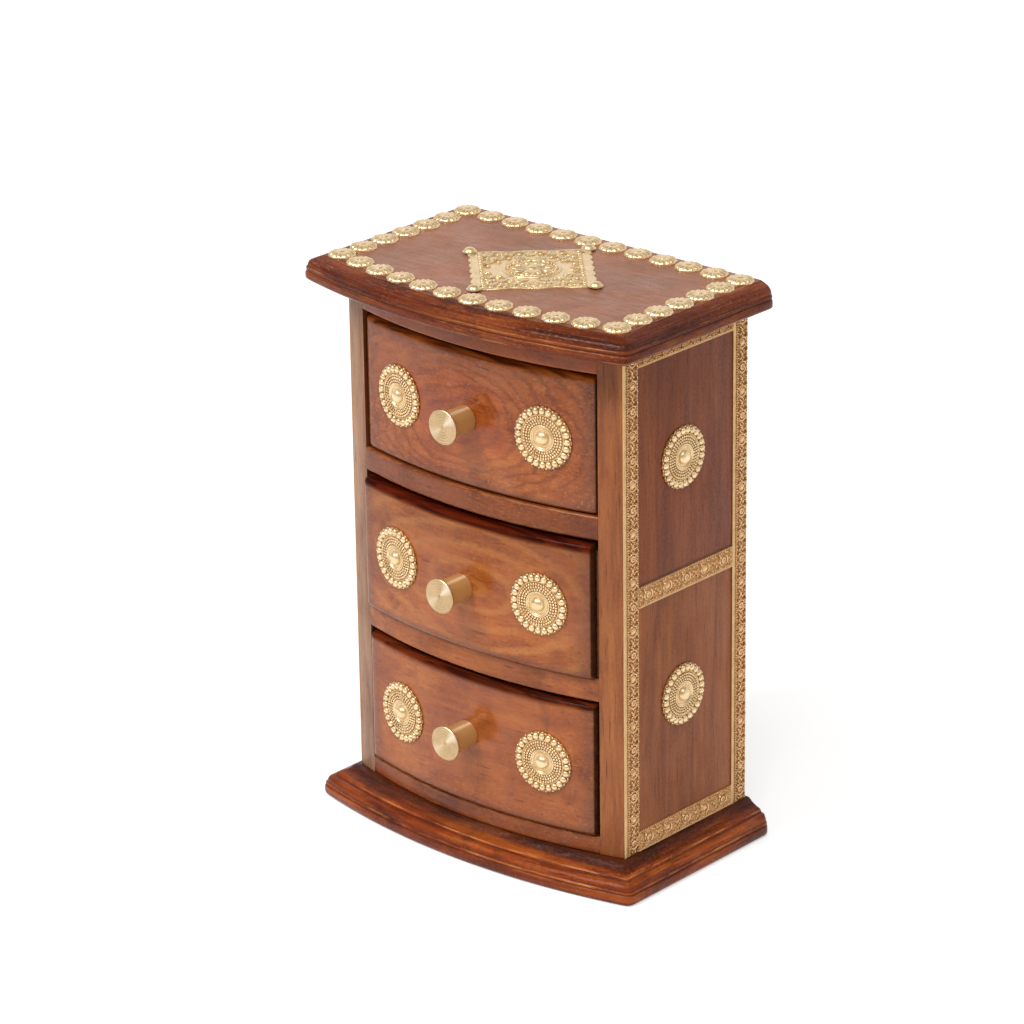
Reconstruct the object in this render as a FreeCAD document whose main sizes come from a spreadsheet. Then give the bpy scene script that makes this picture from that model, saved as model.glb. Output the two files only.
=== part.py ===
import FreeCAD, Part
import math
import os
import Sketcher

# Bow-fronted desk chest with three drawers and embossed brass trim.
# Frame: X to the right, Y to the back, Z up; the origin is in the middle of the plinth's underside,
# halfway along the side panels. All lengths are in millimetres.

SIZES = [
    # carcass
    ("case_width", "122.5", "over the outer faces of the side panels"),
    ("case_depth", "65", "side panel, front corner to back"),
    ("case_bow", "10", "how far the front bows out at its middle"),
    ("side_thickness", "8.6", "side panels"),
    ("opening_height", "50", "each drawer opening"),
    ("bottom_shelf_thickness", "6.4", "shelf under the bottom drawer"),
    ("divider_thickness", "8.5", "shelves between drawers"),
    ("top_shelf_thickness", "9.1", "shelf over the top drawer"),
    ("housing_depth", "2", "shelf housings in the side panels"),
    ("housing_setback", "8", "stopped end of a housing behind the front"),
    ("housing_clearance", "0.1", "end play of a shelf in its housings"),
    ("back_thickness", "4", "back panel"),
    ("back_rabbet", "4.5", "width of the rabbet that holds the back panel"),
    ("back_clearance", "0.1", "back panel to rabbet, each side"),
    # moulded boards
    ("plinth_height", "11.7", "plinth board"),
    ("plinth_side_overhang", "10.8", "nose beyond the side panels"),
    ("plinth_front_overhang", "9.7", "nose before the case's front corners"),
    ("plinth_bow", "10", "bow of the plinth's front nose"),
    ("plinth_band_height", "3", "band under the nose"),
    ("plinth_riser", "1.8", "step from the ledge down to the ovolo"),
    ("plinth_edge_drop", "1.1", "worn edge of the ledge, height"),
    ("plinth_edge_width", "3", "worn edge of the ledge, width"),
    ("top_thickness", "8.8", "top board"),
    ("top_side_overhang", "11.2", "nose beyond the side panels"),
    ("top_front_overhang", "11", "nose before the case's front corners"),
    ("top_bow", "10.8", "bow of the top's front nose"),
    ("top_band_height", "2.4", "band under the nose"),
    ("top_riser", "0.9", "step from the flat down to the ovolo"),
    ("top_edge_drop", "0.3", "eased edge of the flat, height"),
    ("top_edge_width", "0.3", "eased edge of the flat, width"),
    ("back_overhang", "1.3", "top and plinth behind the back panel"),
    ("band_inset", "0.5", "band behind the nose"),
    ("band_bevel", "0.9", "eased lower edge of the band"),
    ("nose_height", "0.8", "flat fillet at the nose"),
    ("nose_step", "0.5", "nose to the foot of the ovolo"),
    ("ovolo_radius", "6.5", "convex part of the moulding"),
    ("ovolo_inset", "5.2", "nose to the head of the ovolo"),
    ("flat_inset", "5.7", "nose to the edge of the flat"),
    # drawers
    ("closed_recess", "0.6", "drawer front behind the case front when shut"),
    ("drawer_stop_gap", "0.3", "drawer back to back panel when shut"),
    ("drawer_side_gap", "0.8", "each side of a drawer"),
    ("drawer_top_gap", "1.2", "over a drawer front"),
    ("drawer_running_gap", "0.3", "under a drawer"),
    ("front_end_thickness", "8", "drawer front at its ends"),
    ("front_edge_bevel", "1", "eased edges of the bowed face"),
    ("drawer_lap", "4", "drawer sides let into the front's ends"),
    ("drawer_side_thickness", "4.5", "drawer sides"),
    ("drawer_side_drop", "3", "drawer sides below the top of the front"),
    ("drawer_back_thickness", "4.5", "drawer back"),
    ("drawer_bottom_thickness", "3", "drawer bottom"),
    ("bottom_groove_depth", "2", "groove that holds the drawer bottom"),
    ("bottom_groove_height", "3", "groove above the drawer's lower edge"),
    ("bottom_clearance", "0.1", "drawer bottom in its groove"),
    ("bottom_drawer_out", "1.3", "bottom front before the case front at rest"),
    ("middle_drawer_out", "2.6", "middle front before the case front at rest"),
    ("top_drawer_out", "-0.6", "top front before the case front at rest"),
    # knobs and their screws
    ("bottom_knob_height", "26.7", "knob centre above the opening's floor"),
    ("middle_knob_height", "23.1", "knob centre above the opening's floor"),
    ("top_knob_height", "24.5", "knob centre above the opening's floor"),
    ("knob_length", "11.3", "wood to the knob's face"),
    ("knob_neck_diameter", "9.6", "straight neck"),
    ("knob_face_diameter", "12.3", "flared face"),
    ("knob_flare", "1.5", "length of the flare"),
    ("knob_rim", "0.6", "rim of the face"),
    ("knob_hole_depth", "6.5", "threaded hole in the knob"),
    ("knob_screw_diameter", "3", "shank in the knob"),
    ("knob_screw_play", "0.4", "hole in the front wider than the shank"),
    ("knob_screw_end_gap", "0.5", "shank end to the bottom of the knob's hole"),
    ("knob_screw_head_diameter", "6", "pan head"),
    ("knob_screw_head_height", "1.6", "pan head"),
    ("driver_slot_width", "0.9", "slot in a screw head"),
    ("driver_slot_depth", "0.7", "slot in a screw head"),
    # rosettes
    ("rosette_radius", "11.2", "tips of the scallops"),
    ("rosette_notch_radius", "10.5", "notches between the scallops"),
    ("rosette_scallops", "24", "scallops round the rim"),
    ("rosette_rim_height", "0.6", "embossed rim above the wood"),
    ("rosette_field_radius", "8.2", "raised field"),
    ("rosette_field_height", "1.1", "raised field above the wood"),
    ("rosette_boss_radius", "2.7", "centre boss"),
    ("rosette_boss_height", "2.4", "centre boss above the wood"),
    ("rosette_boss_bevel", "1", "edge of the centre boss"),
    ("rosette_boss_sides", "10", "facets round the centre boss"),
    ("rosette_spread", "32.5", "drawer rosettes from the middle"),
    ("rosette_rise", "24.6", "drawer rosettes above the opening's floor"),
    ("side_rosette_setback", "1.5", "side rosettes before the middle of the side"),
    ("side_rosette_low", "62.8", "lower side rosette above the ground"),
    ("side_rosette_high", "149", "upper side rosette above the ground"),
    # brass strips on the side panels
    ("strip_width", "7.6", "embossed strip"),
    ("strip_thickness", "0.8", "embossed part"),
    ("strip_band_width", "1.5", "plain edge band"),
    ("strip_band_thickness", "0.45", "plain edge band"),
    ("middle_strip_centre", "105.1", "middle strip above the ground"),
    # trim on the top
    ("flower_radius", "4.9", "flower disc"),
    ("flower_petals", "12", "facets round a flower disc"),
    ("flower_height", "1.6", "flower disc above the wood"),
    ("flower_bevel", "1.1", "sloping edge of a flower disc"),
    ("flower_inset", "5.3", "flower centres inside the edge of the flat"),
    ("flowers_across", "12", "along the front and along the back"),
    ("flowers_between", "5", "between the corners at each end"),
    ("plaque_width", "42.4", "scalloped edge to scalloped edge"),
    ("plaque_length", "41", "waved edge to waved edge"),
    ("plaque_turn", "44", "turned on the top, in degrees"),
    ("plaque_centre", "-7", "plaque centre from the middle of the side"),
    ("plaque_thickness", "0.6", "embossed sheet"),
    ("plaque_scallops", "7", "along each scalloped edge"),
    ("plaque_scallop_radius", "5.2", "one scallop"),
    ("plaque_waves", "3", "along each waved edge"),
    ("plaque_wave_radius", "14", "one wave"),
    ("medallion_radius", "9.6", "raised medallion"),
    ("medallion_petals", "16", "facets round the medallion"),
    ("medallion_height", "1.5", "medallion above the wood"),
    ("medallion_bevel", "0.6", "sloping edge of the medallion"),
    ("stud_spacing", "40.6", "between neighbouring studs"),
    ("stud_radius", "2.6", "head of a stud"),
    ("stud_facets", "12", "facets round a stud"),
    ("stud_height", "1.6", "stud above the plaque"),
    ("stud_bevel", "1.1", "sloping edge of a stud"),
    ("stud_pin_width", "1", "square pin of a stud"),
    ("stud_pin_length", "5", "pin of a stud below the plaque's face"),
    # cut nails
    ("nail_width", "1.4", "square shank of a cut nail"),
    ("nail_tip_width", "0.6", "chisel point of a cut nail"),
    ("nail_tip_length", "3", "chisel point of a cut nail"),
    ("nail_head_width", "2.8", "head of a cut nail"),
    ("nail_head_height", "0.5", "head of a cut nail"),
    ("back_nail_length", "14", "through the back panel into the side panels"),
    ("plinth_nail_length", "26", "through the plinth into the side panels"),
    ("plinth_nail_spread", "20", "plinth nails from the middle of the side"),
    ("plinth_nail_sink", "0.9", "underside of a plinth nail's head above the ground"),
    # tool shapes
    ("trim_margin", "25", "how far a cutter reaches past the wood"),
    ("trim_angle", "70", "sweep of the cutter that shapes a bowed front"),
]

doc = FreeCAD.newDocument("PaintDrawerBox")
sheet = doc.addObject("Spreadsheet::Sheet", "Sizes")
for row, (alias, amount, note) in enumerate(SIZES, 1):
    sheet.set("A%d" % row, note)
    sheet.set("B%d" % row, amount)
    sheet.setAlias("B%d" % row, alias)
doc.recompute()

pieces = []


def number(expression):
    """Value of an expression over the sheet's sizes."""
    return float(sheet.evalExpression(str(expression)))


def bow_radius(half, bow):
    """Radius of an arc over a chord of twice half, bowed by bow."""
    return "(((%s)^2 + (%s)^2) / (2 * %s))" % (half, bow, bow)


def bow_front(x, radius, apex):
    """Y of a bowed front at x, for an arc whose foremost point is at apex."""
    return "(%s + %s - sqrt((%s)^2 - (%s)^2))" % (apex, radius, radius, x)


CASE_HALF = "(Sizes.case_width / 2)"
CASE_INNER = "(Sizes.case_width / 2 - Sizes.side_thickness)"
CASE_BACK = "(Sizes.case_depth / 2)"
PANEL_FACE = "(Sizes.case_depth / 2 - Sizes.back_thickness)"
CASE_APEX = "(-Sizes.case_depth / 2 - Sizes.case_bow)"
CASE_RADIUS = bow_radius(CASE_HALF, "Sizes.case_bow")
CASE_HEIGHT = (
    "(Sizes.bottom_shelf_thickness + 3 * Sizes.opening_height"
    " + 2 * Sizes.divider_thickness + Sizes.top_shelf_thickness)"
)
CASE_TOP = "(Sizes.plinth_height + %s)" % CASE_HEIGHT
TOP_FACE = "(%s + Sizes.top_thickness)" % CASE_TOP
HOUSING_STOP = "(%s + Sizes.housing_setback)" % bow_front(CASE_INNER, CASE_RADIUS, CASE_APEX)


def opening_floor(tier):
    """Height of a drawer opening's floor; tier 0 is the lowest."""
    return (
        "(Sizes.plinth_height + Sizes.bottom_shelf_thickness"
        " + %d * (Sizes.opening_height + Sizes.divider_thickness))" % tier
    )


def keep(label, piece):
    """Name a finished piece and put it on the list of parts."""
    piece.Label = label
    pieces.append(piece)
    return piece


def new_body(label):
    body = doc.addObject("PartDesign::Body", "Body")
    body.Label = label
    return body


def place(piece, x="0", y="0", z="0"):
    """Bind a piece's position to expressions."""
    for axis, expression in zip("xyz", (x, y, z)):
        piece.setExpression("Placement.Base." + axis, expression)


def new_sketch(body, plane, x="0", y="0", out="0"):
    """Sketch on one of the body's own planes; x and y shift it in the plane, out along its normal."""
    sketch = body.newObject("Sketcher::SketchObject", "Sketch")
    support = [item for item in body.Origin.OriginFeatures if item.Role == plane][0]
    sketch.AttachmentSupport = [(support, "")]
    sketch.MapMode = "FlatFace"
    for axis, expression in zip("xyz", (x, y, out)):
        sketch.setExpression("AttachmentOffset.Base." + axis, expression)
    return sketch


def bind(sketch, constraint, expression):
    index = sketch.addConstraint(constraint)
    sketch.setExpression("Constraints[%d]" % index, expression)


def arc_between(first, second, radius):
    """Counter-clockwise arc of the given radius from first to second, less than a half turn."""
    chord = second - first
    reach = math.sqrt(radius**2 - (chord.Length / 2) ** 2)
    normal = FreeCAD.Vector(-chord.y, chord.x, 0).normalize()
    centre = (first + second) * 0.5 + normal * reach
    start = math.atan2(first.y - centre.y, first.x - centre.x)
    end = math.atan2(second.y - centre.y, second.x - centre.x)
    return Part.ArcOfCircle(Part.Circle(centre, FreeCAD.Vector(0, 0, 1), radius), start, end)


def draw_outline(sketch, corners, bulges=None, hollows=None):
    """Closed outline, counter-clockwise, through corners given as expressions.

    bulges and hollows map a corner's index to the radius of the arc that leaves it:
    a bulge curves out of the outline and a hollow curves into it.
    """
    bulges = bulges or {}
    hollows = hollows or {}
    base = sketch.GeometryCount
    count = len(corners)
    spots = [FreeCAD.Vector(number(x), number(y), 0) for x, y in corners]
    for i in range(count):
        here = spots[i]
        there = spots[(i + 1) % count]
        if i in bulges:
            sketch.addGeometry(arc_between(here, there, number(bulges[i])))
        elif i in hollows:
            sketch.addGeometry(arc_between(there, here, number(hollows[i])))
        else:
            sketch.addGeometry(Part.LineSegment(here, there))
    starts = [2 if i in hollows else 1 for i in range(count)]
    for i in range(count):
        after = (i + 1) % count
        joint = Sketcher.Constraint("Coincident", base + i, 3 - starts[i], base + after, starts[after])
        sketch.addConstraint(joint)
    for i, (x, y) in enumerate(corners):
        bind(sketch, Sketcher.Constraint("DistanceX", -1, 1, base + i, starts[i], spots[i].x), x)
        bind(sketch, Sketcher.Constraint("DistanceY", -1, 1, base + i, starts[i], spots[i].y), y)
    for i, radius in {**bulges, **hollows}.items():
        bind(sketch, Sketcher.Constraint("Radius", base + i, number(radius)), radius)
    return sketch


def draw_box(sketch, left, low, right, high):
    return draw_outline(sketch, [(left, low), (right, low), (right, high), (left, high)])


def draw_circle(sketch, x, y, radius):
    spot = FreeCAD.Vector(number(x), number(y), 0)
    index = sketch.addGeometry(Part.Circle(spot, FreeCAD.Vector(0, 0, 1), number(radius)))
    bind(sketch, Sketcher.Constraint("DistanceX", -1, 1, index, 3, spot.x), x)
    bind(sketch, Sketcher.Constraint("DistanceY", -1, 1, index, 3, spot.y), y)
    bind(sketch, Sketcher.Constraint("Radius", index, number(radius)), radius)
    return sketch


def pad(body, sketch, length):
    """Thicken a sketch along its plane's normal."""
    feature = body.newObject("PartDesign::Pad", "Pad")
    feature.Profile = sketch
    feature.setExpression("Length", length)
    return feature


def pocket(body, sketch, depth=None):
    """Cut a sketch along its plane's normal, right through where no depth is given."""
    before = body.Tip
    feature = body.newObject("PartDesign::Pocket", "Pocket")
    feature.Profile = sketch
    feature.Reversed = True
    if depth is None:
        feature.Type = "ThroughAll"
    else:
        feature.setExpression("Length", depth)
    doc.recompute()
    if feature.Shape.Volume > before.Shape.Volume - 1e-6:
        raise ValueError("%s: a pocket cuts nothing" % body.Label)
    return feature


def bevel(body, faces, size):
    """Chamfer all the edges of some faces of the body's latest feature."""
    feature = body.newObject("PartDesign::Chamfer", "Bevel")
    feature.Base = faces
    feature.setExpression("Size", size)
    return feature


def bevelled_pad(body, sketch, length, size):
    """Thicken a sketch upwards from its plane and bevel the edges of its top."""
    block = pad(body, sketch, length)
    doc.recompute()
    level = max(face.BoundBox.ZMax for face in block.Shape.Faces)
    tops = ["Face%d" % i for i, face in enumerate(block.Shape.Faces, 1) if face.BoundBox.ZMin > level - 1e-6]
    return bevel(body, (block, tops), size)


def draw_star(sketch, sides, *radii):
    """Closed outline about the sketch's origin with one corner per radius in each of the sides."""
    count = int(number(sides))
    corners = []
    for i in range(count):
        for step, radius in enumerate(radii):
            turn = "(%d + %d / %d) * 360 / %s" % (i, step, len(radii), sides)
            corners.append(("%s * cos(%s)" % (radius, turn), "%s * sin(%s)" % (radius, turn)))
    return draw_outline(sketch, corners)


def turned(label, corners):
    """Body turned about the Y axis from half a section: X is the radius, Y runs along the axis."""
    body = new_body(label)
    half = draw_outline(new_sketch(body, "XY_Plane"), corners)
    feature = body.newObject("PartDesign::Revolution", "Turning")
    feature.Profile = half
    feature.ReferenceAxis = (half, ["V_Axis"])
    feature.Angle = 360
    return body


def part_box(x, y, z, length, width, height):
    """Plain board: its lowest corner and its sizes along X, Y and Z."""
    box = doc.addObject("Part::Box", "Board")
    place(box, x, y, z)
    for side, expression in (("Length", length), ("Width", width), ("Height", height)):
        box.setExpression(side, expression)
    return box


def drilled(blank, tool):
    """A blank with a tool's shape cut out of it."""
    cut = doc.addObject("Part::Cut", "Drilled")
    cut.Base = blank
    cut.Tool = tool
    return cut


def mirrored(source):
    """The same piece for the other side, mirrored over the plane x = 0."""
    twin = doc.addObject("Part::Mirroring", "Mirrored")
    twin.Source = source
    twin.Normal = FreeCAD.Vector(1, 0, 0)
    twin.Base = FreeCAD.Vector(0, 0, 0)
    return twin


def copies(master, spots):
    """Group of separate solids: the master's shape at each place."""
    doc.recompute()
    solids = []
    for spot in spots:
        solid = master.Shape.Solids[0].copy()
        solid.Placement = spot.multiply(solid.Placement)
        solids.append(solid)
    group = doc.addObject("Part::Feature", "Group")
    group.Shape = Part.makeCompound(solids)
    return group


def spot(x, y, z, turn=0, tip=0):
    """Place given by expressions, tipped about the X axis and then turned about Z, in degrees."""
    heading = FreeCAD.Rotation(FreeCAD.Vector(0, 0, 1), turn)
    tipped = FreeCAD.Rotation(FreeCAD.Vector(1, 0, 0), tip)
    return FreeCAD.Placement(FreeCAD.Vector(number(x), number(y), number(z)), heading.multiply(tipped))


# ---- moulded boards: plinth and top ----


def moulding(board, height):
    """Corners of a board's moulding as (distance behind the nose, height), from the underside up."""
    band = "Sizes.%s_band_height" % board
    nose = "(%s + Sizes.nose_height)" % band
    step = "(%s - Sizes.%s_riser)" % (height, board)
    return [
        ("(Sizes.band_inset + Sizes.band_bevel)", "0"),
        ("Sizes.band_inset", "Sizes.band_bevel"),
        ("Sizes.band_inset", band),
        ("0", band),
        ("0", nose),
        ("Sizes.nose_step", nose),
        ("Sizes.ovolo_inset", step),
        ("Sizes.flat_inset", step),
        ("Sizes.flat_inset", "(%s - Sizes.%s_edge_drop)" % (height, board)),
        ("(Sizes.flat_inset + Sizes.%s_edge_width)" % board, height),
    ]


def moulded_board(board, floor, height, half, apex, radius):
    """Board with the moulding on its ends and its bowed front, mitred at the corners, flat at the back.

    The ends come from one section pushed through from the back. The front is shaped by a cutter with
    the same moulding, swung about the bow's centre, so that the two meet in true mitres.
    """
    steps = moulding(board, height)
    last = len(steps) - 1
    ovolo = 5
    body = new_body(board + "_blank")
    back = "(%s + Sizes.back_overhang)" % CASE_BACK

    section = new_sketch(body, "XZ_Plane", y=floor, out="-%s" % back)
    right = [("%s - %s" % (half, inset), level) for inset, level in steps]
    left = [("%s - %s" % (inset, half), level) for inset, level in reversed(steps)]
    curves = {ovolo: "Sizes.ovolo_radius", 2 * last - ovolo: "Sizes.ovolo_radius"}
    draw_outline(section, right + left, curves)
    pad(body, section, "%s - %s + Sizes.trim_margin / 2" % (back, apex))

    swing = "(%s + %s)" % (apex, radius)
    cutter = new_sketch(body, "YZ_Plane", x=swing, y=floor)
    front = [("%s - %s" % (inset, radius), level) for inset, level in steps]
    far = "-%s - Sizes.trim_margin" % radius
    above = "%s + Sizes.trim_margin" % height
    corners = [(far, "-Sizes.trim_margin"), (front[0][0], "-Sizes.trim_margin")]
    corners += front
    corners += [(front[last][0], above), (far, above)]
    draw_outline(cutter, corners, hollows={ovolo + 2: "Sizes.ovolo_radius"})
    groove = body.newObject("PartDesign::Groove", "BowedFront")
    groove.Profile = cutter
    groove.ReferenceAxis = (cutter, ["V_Axis"])
    groove.Midplane = True
    groove.setExpression("Angle", "Sizes.trim_angle")
    return body


PLINTH_HALF = "(%s + Sizes.plinth_side_overhang)" % CASE_HALF
PLINTH_APEX = "(-%s - Sizes.plinth_front_overhang - Sizes.plinth_bow)" % CASE_BACK
PLINTH_RADIUS = bow_radius(PLINTH_HALF, "Sizes.plinth_bow")
TOP_HALF = "(%s + Sizes.top_side_overhang)" % CASE_HALF
TOP_APEX = "(-%s - Sizes.top_front_overhang - Sizes.top_bow)" % CASE_BACK
TOP_RADIUS = bow_radius(TOP_HALF, "Sizes.top_bow")

plinth_blank = moulded_board("plinth", "0", "Sizes.plinth_height", PLINTH_HALF, PLINTH_APEX, PLINTH_RADIUS)
top_blank = moulded_board("top", CASE_TOP, "Sizes.top_thickness", TOP_HALF, TOP_APEX, TOP_RADIUS)

# ---- carcass: side panels and shelves ----

# underside and thickness of each shelf
SHELVES = {
    "bottom_shelf": ("Sizes.plinth_height", "Sizes.bottom_shelf_thickness"),
    "lower_shelf": ("(%s + Sizes.opening_height)" % opening_floor(0), "Sizes.divider_thickness"),
    "upper_shelf": ("(%s + Sizes.opening_height)" % opening_floor(1), "Sizes.divider_thickness"),
    "top_shelf": ("(%s + Sizes.opening_height)" % opening_floor(2), "Sizes.top_shelf_thickness"),
}


def side_panel_blank():
    """Right side panel: bowed front edge, rabbet for the back panel, stopped housings for the shelves."""
    body = new_body("side_panel_blank")
    rabbet = "(%s + Sizes.back_rabbet)" % CASE_INNER
    plan = [
        (CASE_INNER, bow_front(CASE_INNER, CASE_RADIUS, CASE_APEX)),
        (CASE_HALF, "-%s" % CASE_BACK),
        (CASE_HALF, CASE_BACK),
        (rabbet, CASE_BACK),
        (rabbet, PANEL_FACE),
        (CASE_INNER, PANEL_FACE),
    ]
    outline = draw_outline(new_sketch(body, "XY_Plane", out="Sizes.plinth_height"), plan, {0: CASE_RADIUS})
    pad(body, outline, CASE_HEIGHT)
    housings = new_sketch(body, "YZ_Plane", out=CASE_INNER)
    for underside, thickness in SHELVES.values():
        draw_box(housings, HOUSING_STOP, underside, PANEL_FACE, "%s + %s" % (underside, thickness))
    doc.recompute()
    pocket(body, housings, "Sizes.housing_depth")
    return body


def shelf(label):
    """Shelf with a bowed front edge, notched at its front corners to pass the stopped housings."""
    underside, thickness = SHELVES[label]
    body = new_body(label + "_blank")
    tongue = "(%s + Sizes.housing_depth - Sizes.housing_clearance)" % CASE_INNER
    front = bow_front(CASE_INNER, CASE_RADIUS, CASE_APEX)
    stop = "(%s + Sizes.housing_clearance)" % HOUSING_STOP
    right = [(CASE_INNER, front), (CASE_INNER, stop), (tongue, stop), (tongue, PANEL_FACE)]
    left = [("-%s" % x, y) for x, y in reversed(right)]
    plan = draw_outline(new_sketch(body, "XY_Plane", out=underside), right + left, {7: CASE_RADIUS})
    pad(body, plan, thickness)
    return body


# ---- cut nails, which also cut their own holes ----


def cut_nail(label, length):
    """Square-shanked nail driven along -Y, chisel-pointed; its head's underside is at y = 0."""
    body = new_body(label)
    side = "Sizes.nail_width / 2"
    tip = "Sizes.nail_tip_width / 2"
    head = "Sizes.nail_head_width / 2"
    shoulder = "-%s + Sizes.nail_tip_length" % length
    right = [
        (tip, "-%s" % length),
        (side, shoulder),
        (side, "0"),
        (head, "0"),
        (head, "Sizes.nail_head_height"),
    ]
    left = [("-%s" % x, y) for x, y in reversed(right)]
    profile = draw_outline(new_sketch(body, "XY_Plane", out="-%s" % side), right + left)
    pad(body, profile, "Sizes.nail_width")
    return body


back_nail = cut_nail("back_nail", "Sizes.back_nail_length")
pin_x = number("%s + Sizes.back_rabbet / 2" % CASE_INNER)
pin_spots = []
for tier in range(3):
    pin_z = "%s + Sizes.opening_height / 2" % opening_floor(tier)
    pin_spots += [spot(x, CASE_BACK, pin_z) for x in (-pin_x, pin_x)]
back_nails = keep("back_panel_nails", copies(back_nail, pin_spots))

plinth_nail = cut_nail("plinth_nail", "Sizes.plinth_nail_length")
nail_well = doc.addObject("Part::Box", "NailWell")
for side, expression in (
    ("Length", "Sizes.nail_head_width"),
    ("Width", "Sizes.nail_width"),
    ("Height", "Sizes.plinth_nail_sink"),
):
    nail_well.setExpression(side, expression)
place(nail_well, "-Sizes.nail_head_width / 2", "-Sizes.nail_width / 2")
nail_x = number("%s - Sizes.side_thickness / 2" % CASE_HALF)
nail_y = number("Sizes.plinth_nail_spread")
nail_feet = [(sx * nail_x, sy * nail_y) for sx in (-1, 1) for sy in (-1, 1)]
plinth_nails = copies(plinth_nail, [spot(x, y, "Sizes.plinth_nail_sink", tip=-90) for x, y in nail_feet])
keep("plinth_nails", plinth_nails)
nail_wells = copies(nail_well, [spot(x, y, "0") for x, y in nail_feet])

keep("plinth_board", drilled(drilled(plinth_blank, plinth_nails), nail_wells))

right_panel = keep("right_side_panel", drilled(drilled(side_panel_blank(), back_nails), plinth_nails))
keep("left_side_panel", mirrored(right_panel))
for name in SHELVES:
    keep(name, shelf(name))

back_half = "(%s + Sizes.back_rabbet - Sizes.back_clearance)" % CASE_INNER
back_board = part_box(
    "-%s" % back_half,
    PANEL_FACE,
    "Sizes.plinth_height",
    "2 * %s" % back_half,
    "Sizes.back_thickness",
    CASE_HEIGHT,
)
keep("back_panel", drilled(back_board, back_nails))

# ---- drawers: modelled shut, in the frame of their own opening's floor ----

FRONT_HALF = "(%s - Sizes.drawer_side_gap)" % CASE_INNER
FRONT_APEX = "(%s + Sizes.closed_recess)" % CASE_APEX
FRONT_END = bow_front(FRONT_HALF, CASE_RADIUS, FRONT_APEX)
FRONT_REAR = "(%s + Sizes.front_end_thickness)" % FRONT_END
LAP_FACE = "(%s - Sizes.drawer_lap)" % FRONT_REAR
BOX_INNER = "(%s - Sizes.drawer_side_thickness)" % FRONT_HALF
BOX_REAR = "(%s - Sizes.drawer_stop_gap)" % PANEL_FACE
FRONT_TOP = "(Sizes.opening_height - Sizes.drawer_top_gap)"
SIDE_TOP = "(%s - Sizes.drawer_side_drop)" % FRONT_TOP
GROOVE_LOW = "(Sizes.drawer_running_gap + Sizes.bottom_groove_height)"
GROOVE_HIGH = "(%s + Sizes.drawer_bottom_thickness + Sizes.bottom_clearance)" % GROOVE_LOW
BOTTOM_FACE = "(%s + Sizes.drawer_bottom_thickness)" % GROOVE_LOW


def drawer_front(label, knob_height):
    """Bowed front, flat behind, with laps for the sides, a groove for the bottom and a screw hole."""
    body = new_body(label)
    right = [(FRONT_HALF, FRONT_END), (FRONT_HALF, LAP_FACE), (BOX_INNER, LAP_FACE), (BOX_INNER, FRONT_REAR)]
    left = [("-%s" % x, y) for x, y in reversed(right)]
    plan = new_sketch(body, "XY_Plane", out="Sizes.drawer_running_gap")
    draw_outline(plan, right + left, {7: CASE_RADIUS})
    board = pad(body, plan, "%s - Sizes.drawer_running_gap" % FRONT_TOP)
    doc.recompute()

    bowed = [
        "Face%d" % i for i, face in enumerate(board.Shape.Faces, 1) if isinstance(face.Surface, Part.Cylinder)
    ]
    bevel(body, (board, bowed), "Sizes.front_edge_bevel")
    doc.recompute()

    groove = new_sketch(body, "XZ_Plane", out="-%s" % FRONT_REAR)
    draw_box(groove, "-%s" % BOX_INNER, GROOVE_LOW, BOX_INNER, GROOVE_HIGH)
    pocket(body, groove, "Sizes.bottom_groove_depth")
    hole = new_sketch(body, "XZ_Plane", out="-%s" % FRONT_REAR)
    draw_circle(hole, "0", knob_height, "(Sizes.knob_screw_diameter + Sizes.knob_screw_play) / 2")
    pocket(body, hole)
    return body


def drawer_side(label):
    """Right side of a drawer, grooved for the bottom."""
    body = new_body(label)
    section = new_sketch(body, "XZ_Plane", out="-%s" % BOX_REAR)
    groove = "(%s + Sizes.bottom_groove_depth)" % BOX_INNER
    corners = [
        (BOX_INNER, "Sizes.drawer_running_gap"),
        (FRONT_HALF, "Sizes.drawer_running_gap"),
        (FRONT_HALF, SIDE_TOP),
        (BOX_INNER, SIDE_TOP),
        (BOX_INNER, GROOVE_HIGH),
        (groove, GROOVE_HIGH),
        (groove, GROOVE_LOW),
        (BOX_INNER, GROOVE_LOW),
    ]
    pad(body, draw_outline(section, corners), "%s - %s" % (BOX_REAR, LAP_FACE))
    return body


def drawer_knob(label):
    """Turned brass knob standing out along -Y from the wood at y = 0, with a blind hole for its screw."""
    rim = "(Sizes.knob_face_diameter / 2)"
    neck = "(Sizes.knob_neck_diameter / 2)"
    bore = "(Sizes.knob_screw_diameter / 2)"
    return turned(
        label,
        [
            ("0", "-Sizes.knob_length"),
            (rim, "-Sizes.knob_length"),
            (rim, "-Sizes.knob_length + Sizes.knob_rim"),
            (neck, "-Sizes.knob_length + Sizes.knob_rim + Sizes.knob_flare"),
            (neck, "0"),
            (bore, "0"),
            (bore, "-Sizes.knob_hole_depth"),
            ("0", "-Sizes.knob_hole_depth"),
        ],
    )


def knob_screw(label):
    """Pan-headed screw from inside the drawer; its head sits on the front's rear face at y = 0."""
    shank = "(Sizes.knob_screw_diameter / 2)"
    head = "(Sizes.knob_screw_head_diameter / 2)"
    reach = "(%s - %s + Sizes.knob_hole_depth - Sizes.knob_screw_end_gap)" % (FRONT_REAR, FRONT_APEX)
    body = turned(
        label,
        [
            ("0", "-%s" % reach),
            (shank, "-%s" % reach),
            (shank, "0"),
            (head, "0"),
            (head, "Sizes.knob_screw_head_height"),
            ("0", "Sizes.knob_screw_head_height"),
        ],
    )
    doc.recompute()
    slot = new_sketch(body, "XZ_Plane", out="-Sizes.knob_screw_head_height")
    wide = "Sizes.driver_slot_width / 2"
    draw_box(slot, "-%s" % head, "-%s" % wide, head, wide)
    pocket(body, slot, "Sizes.driver_slot_depth")
    return body


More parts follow.
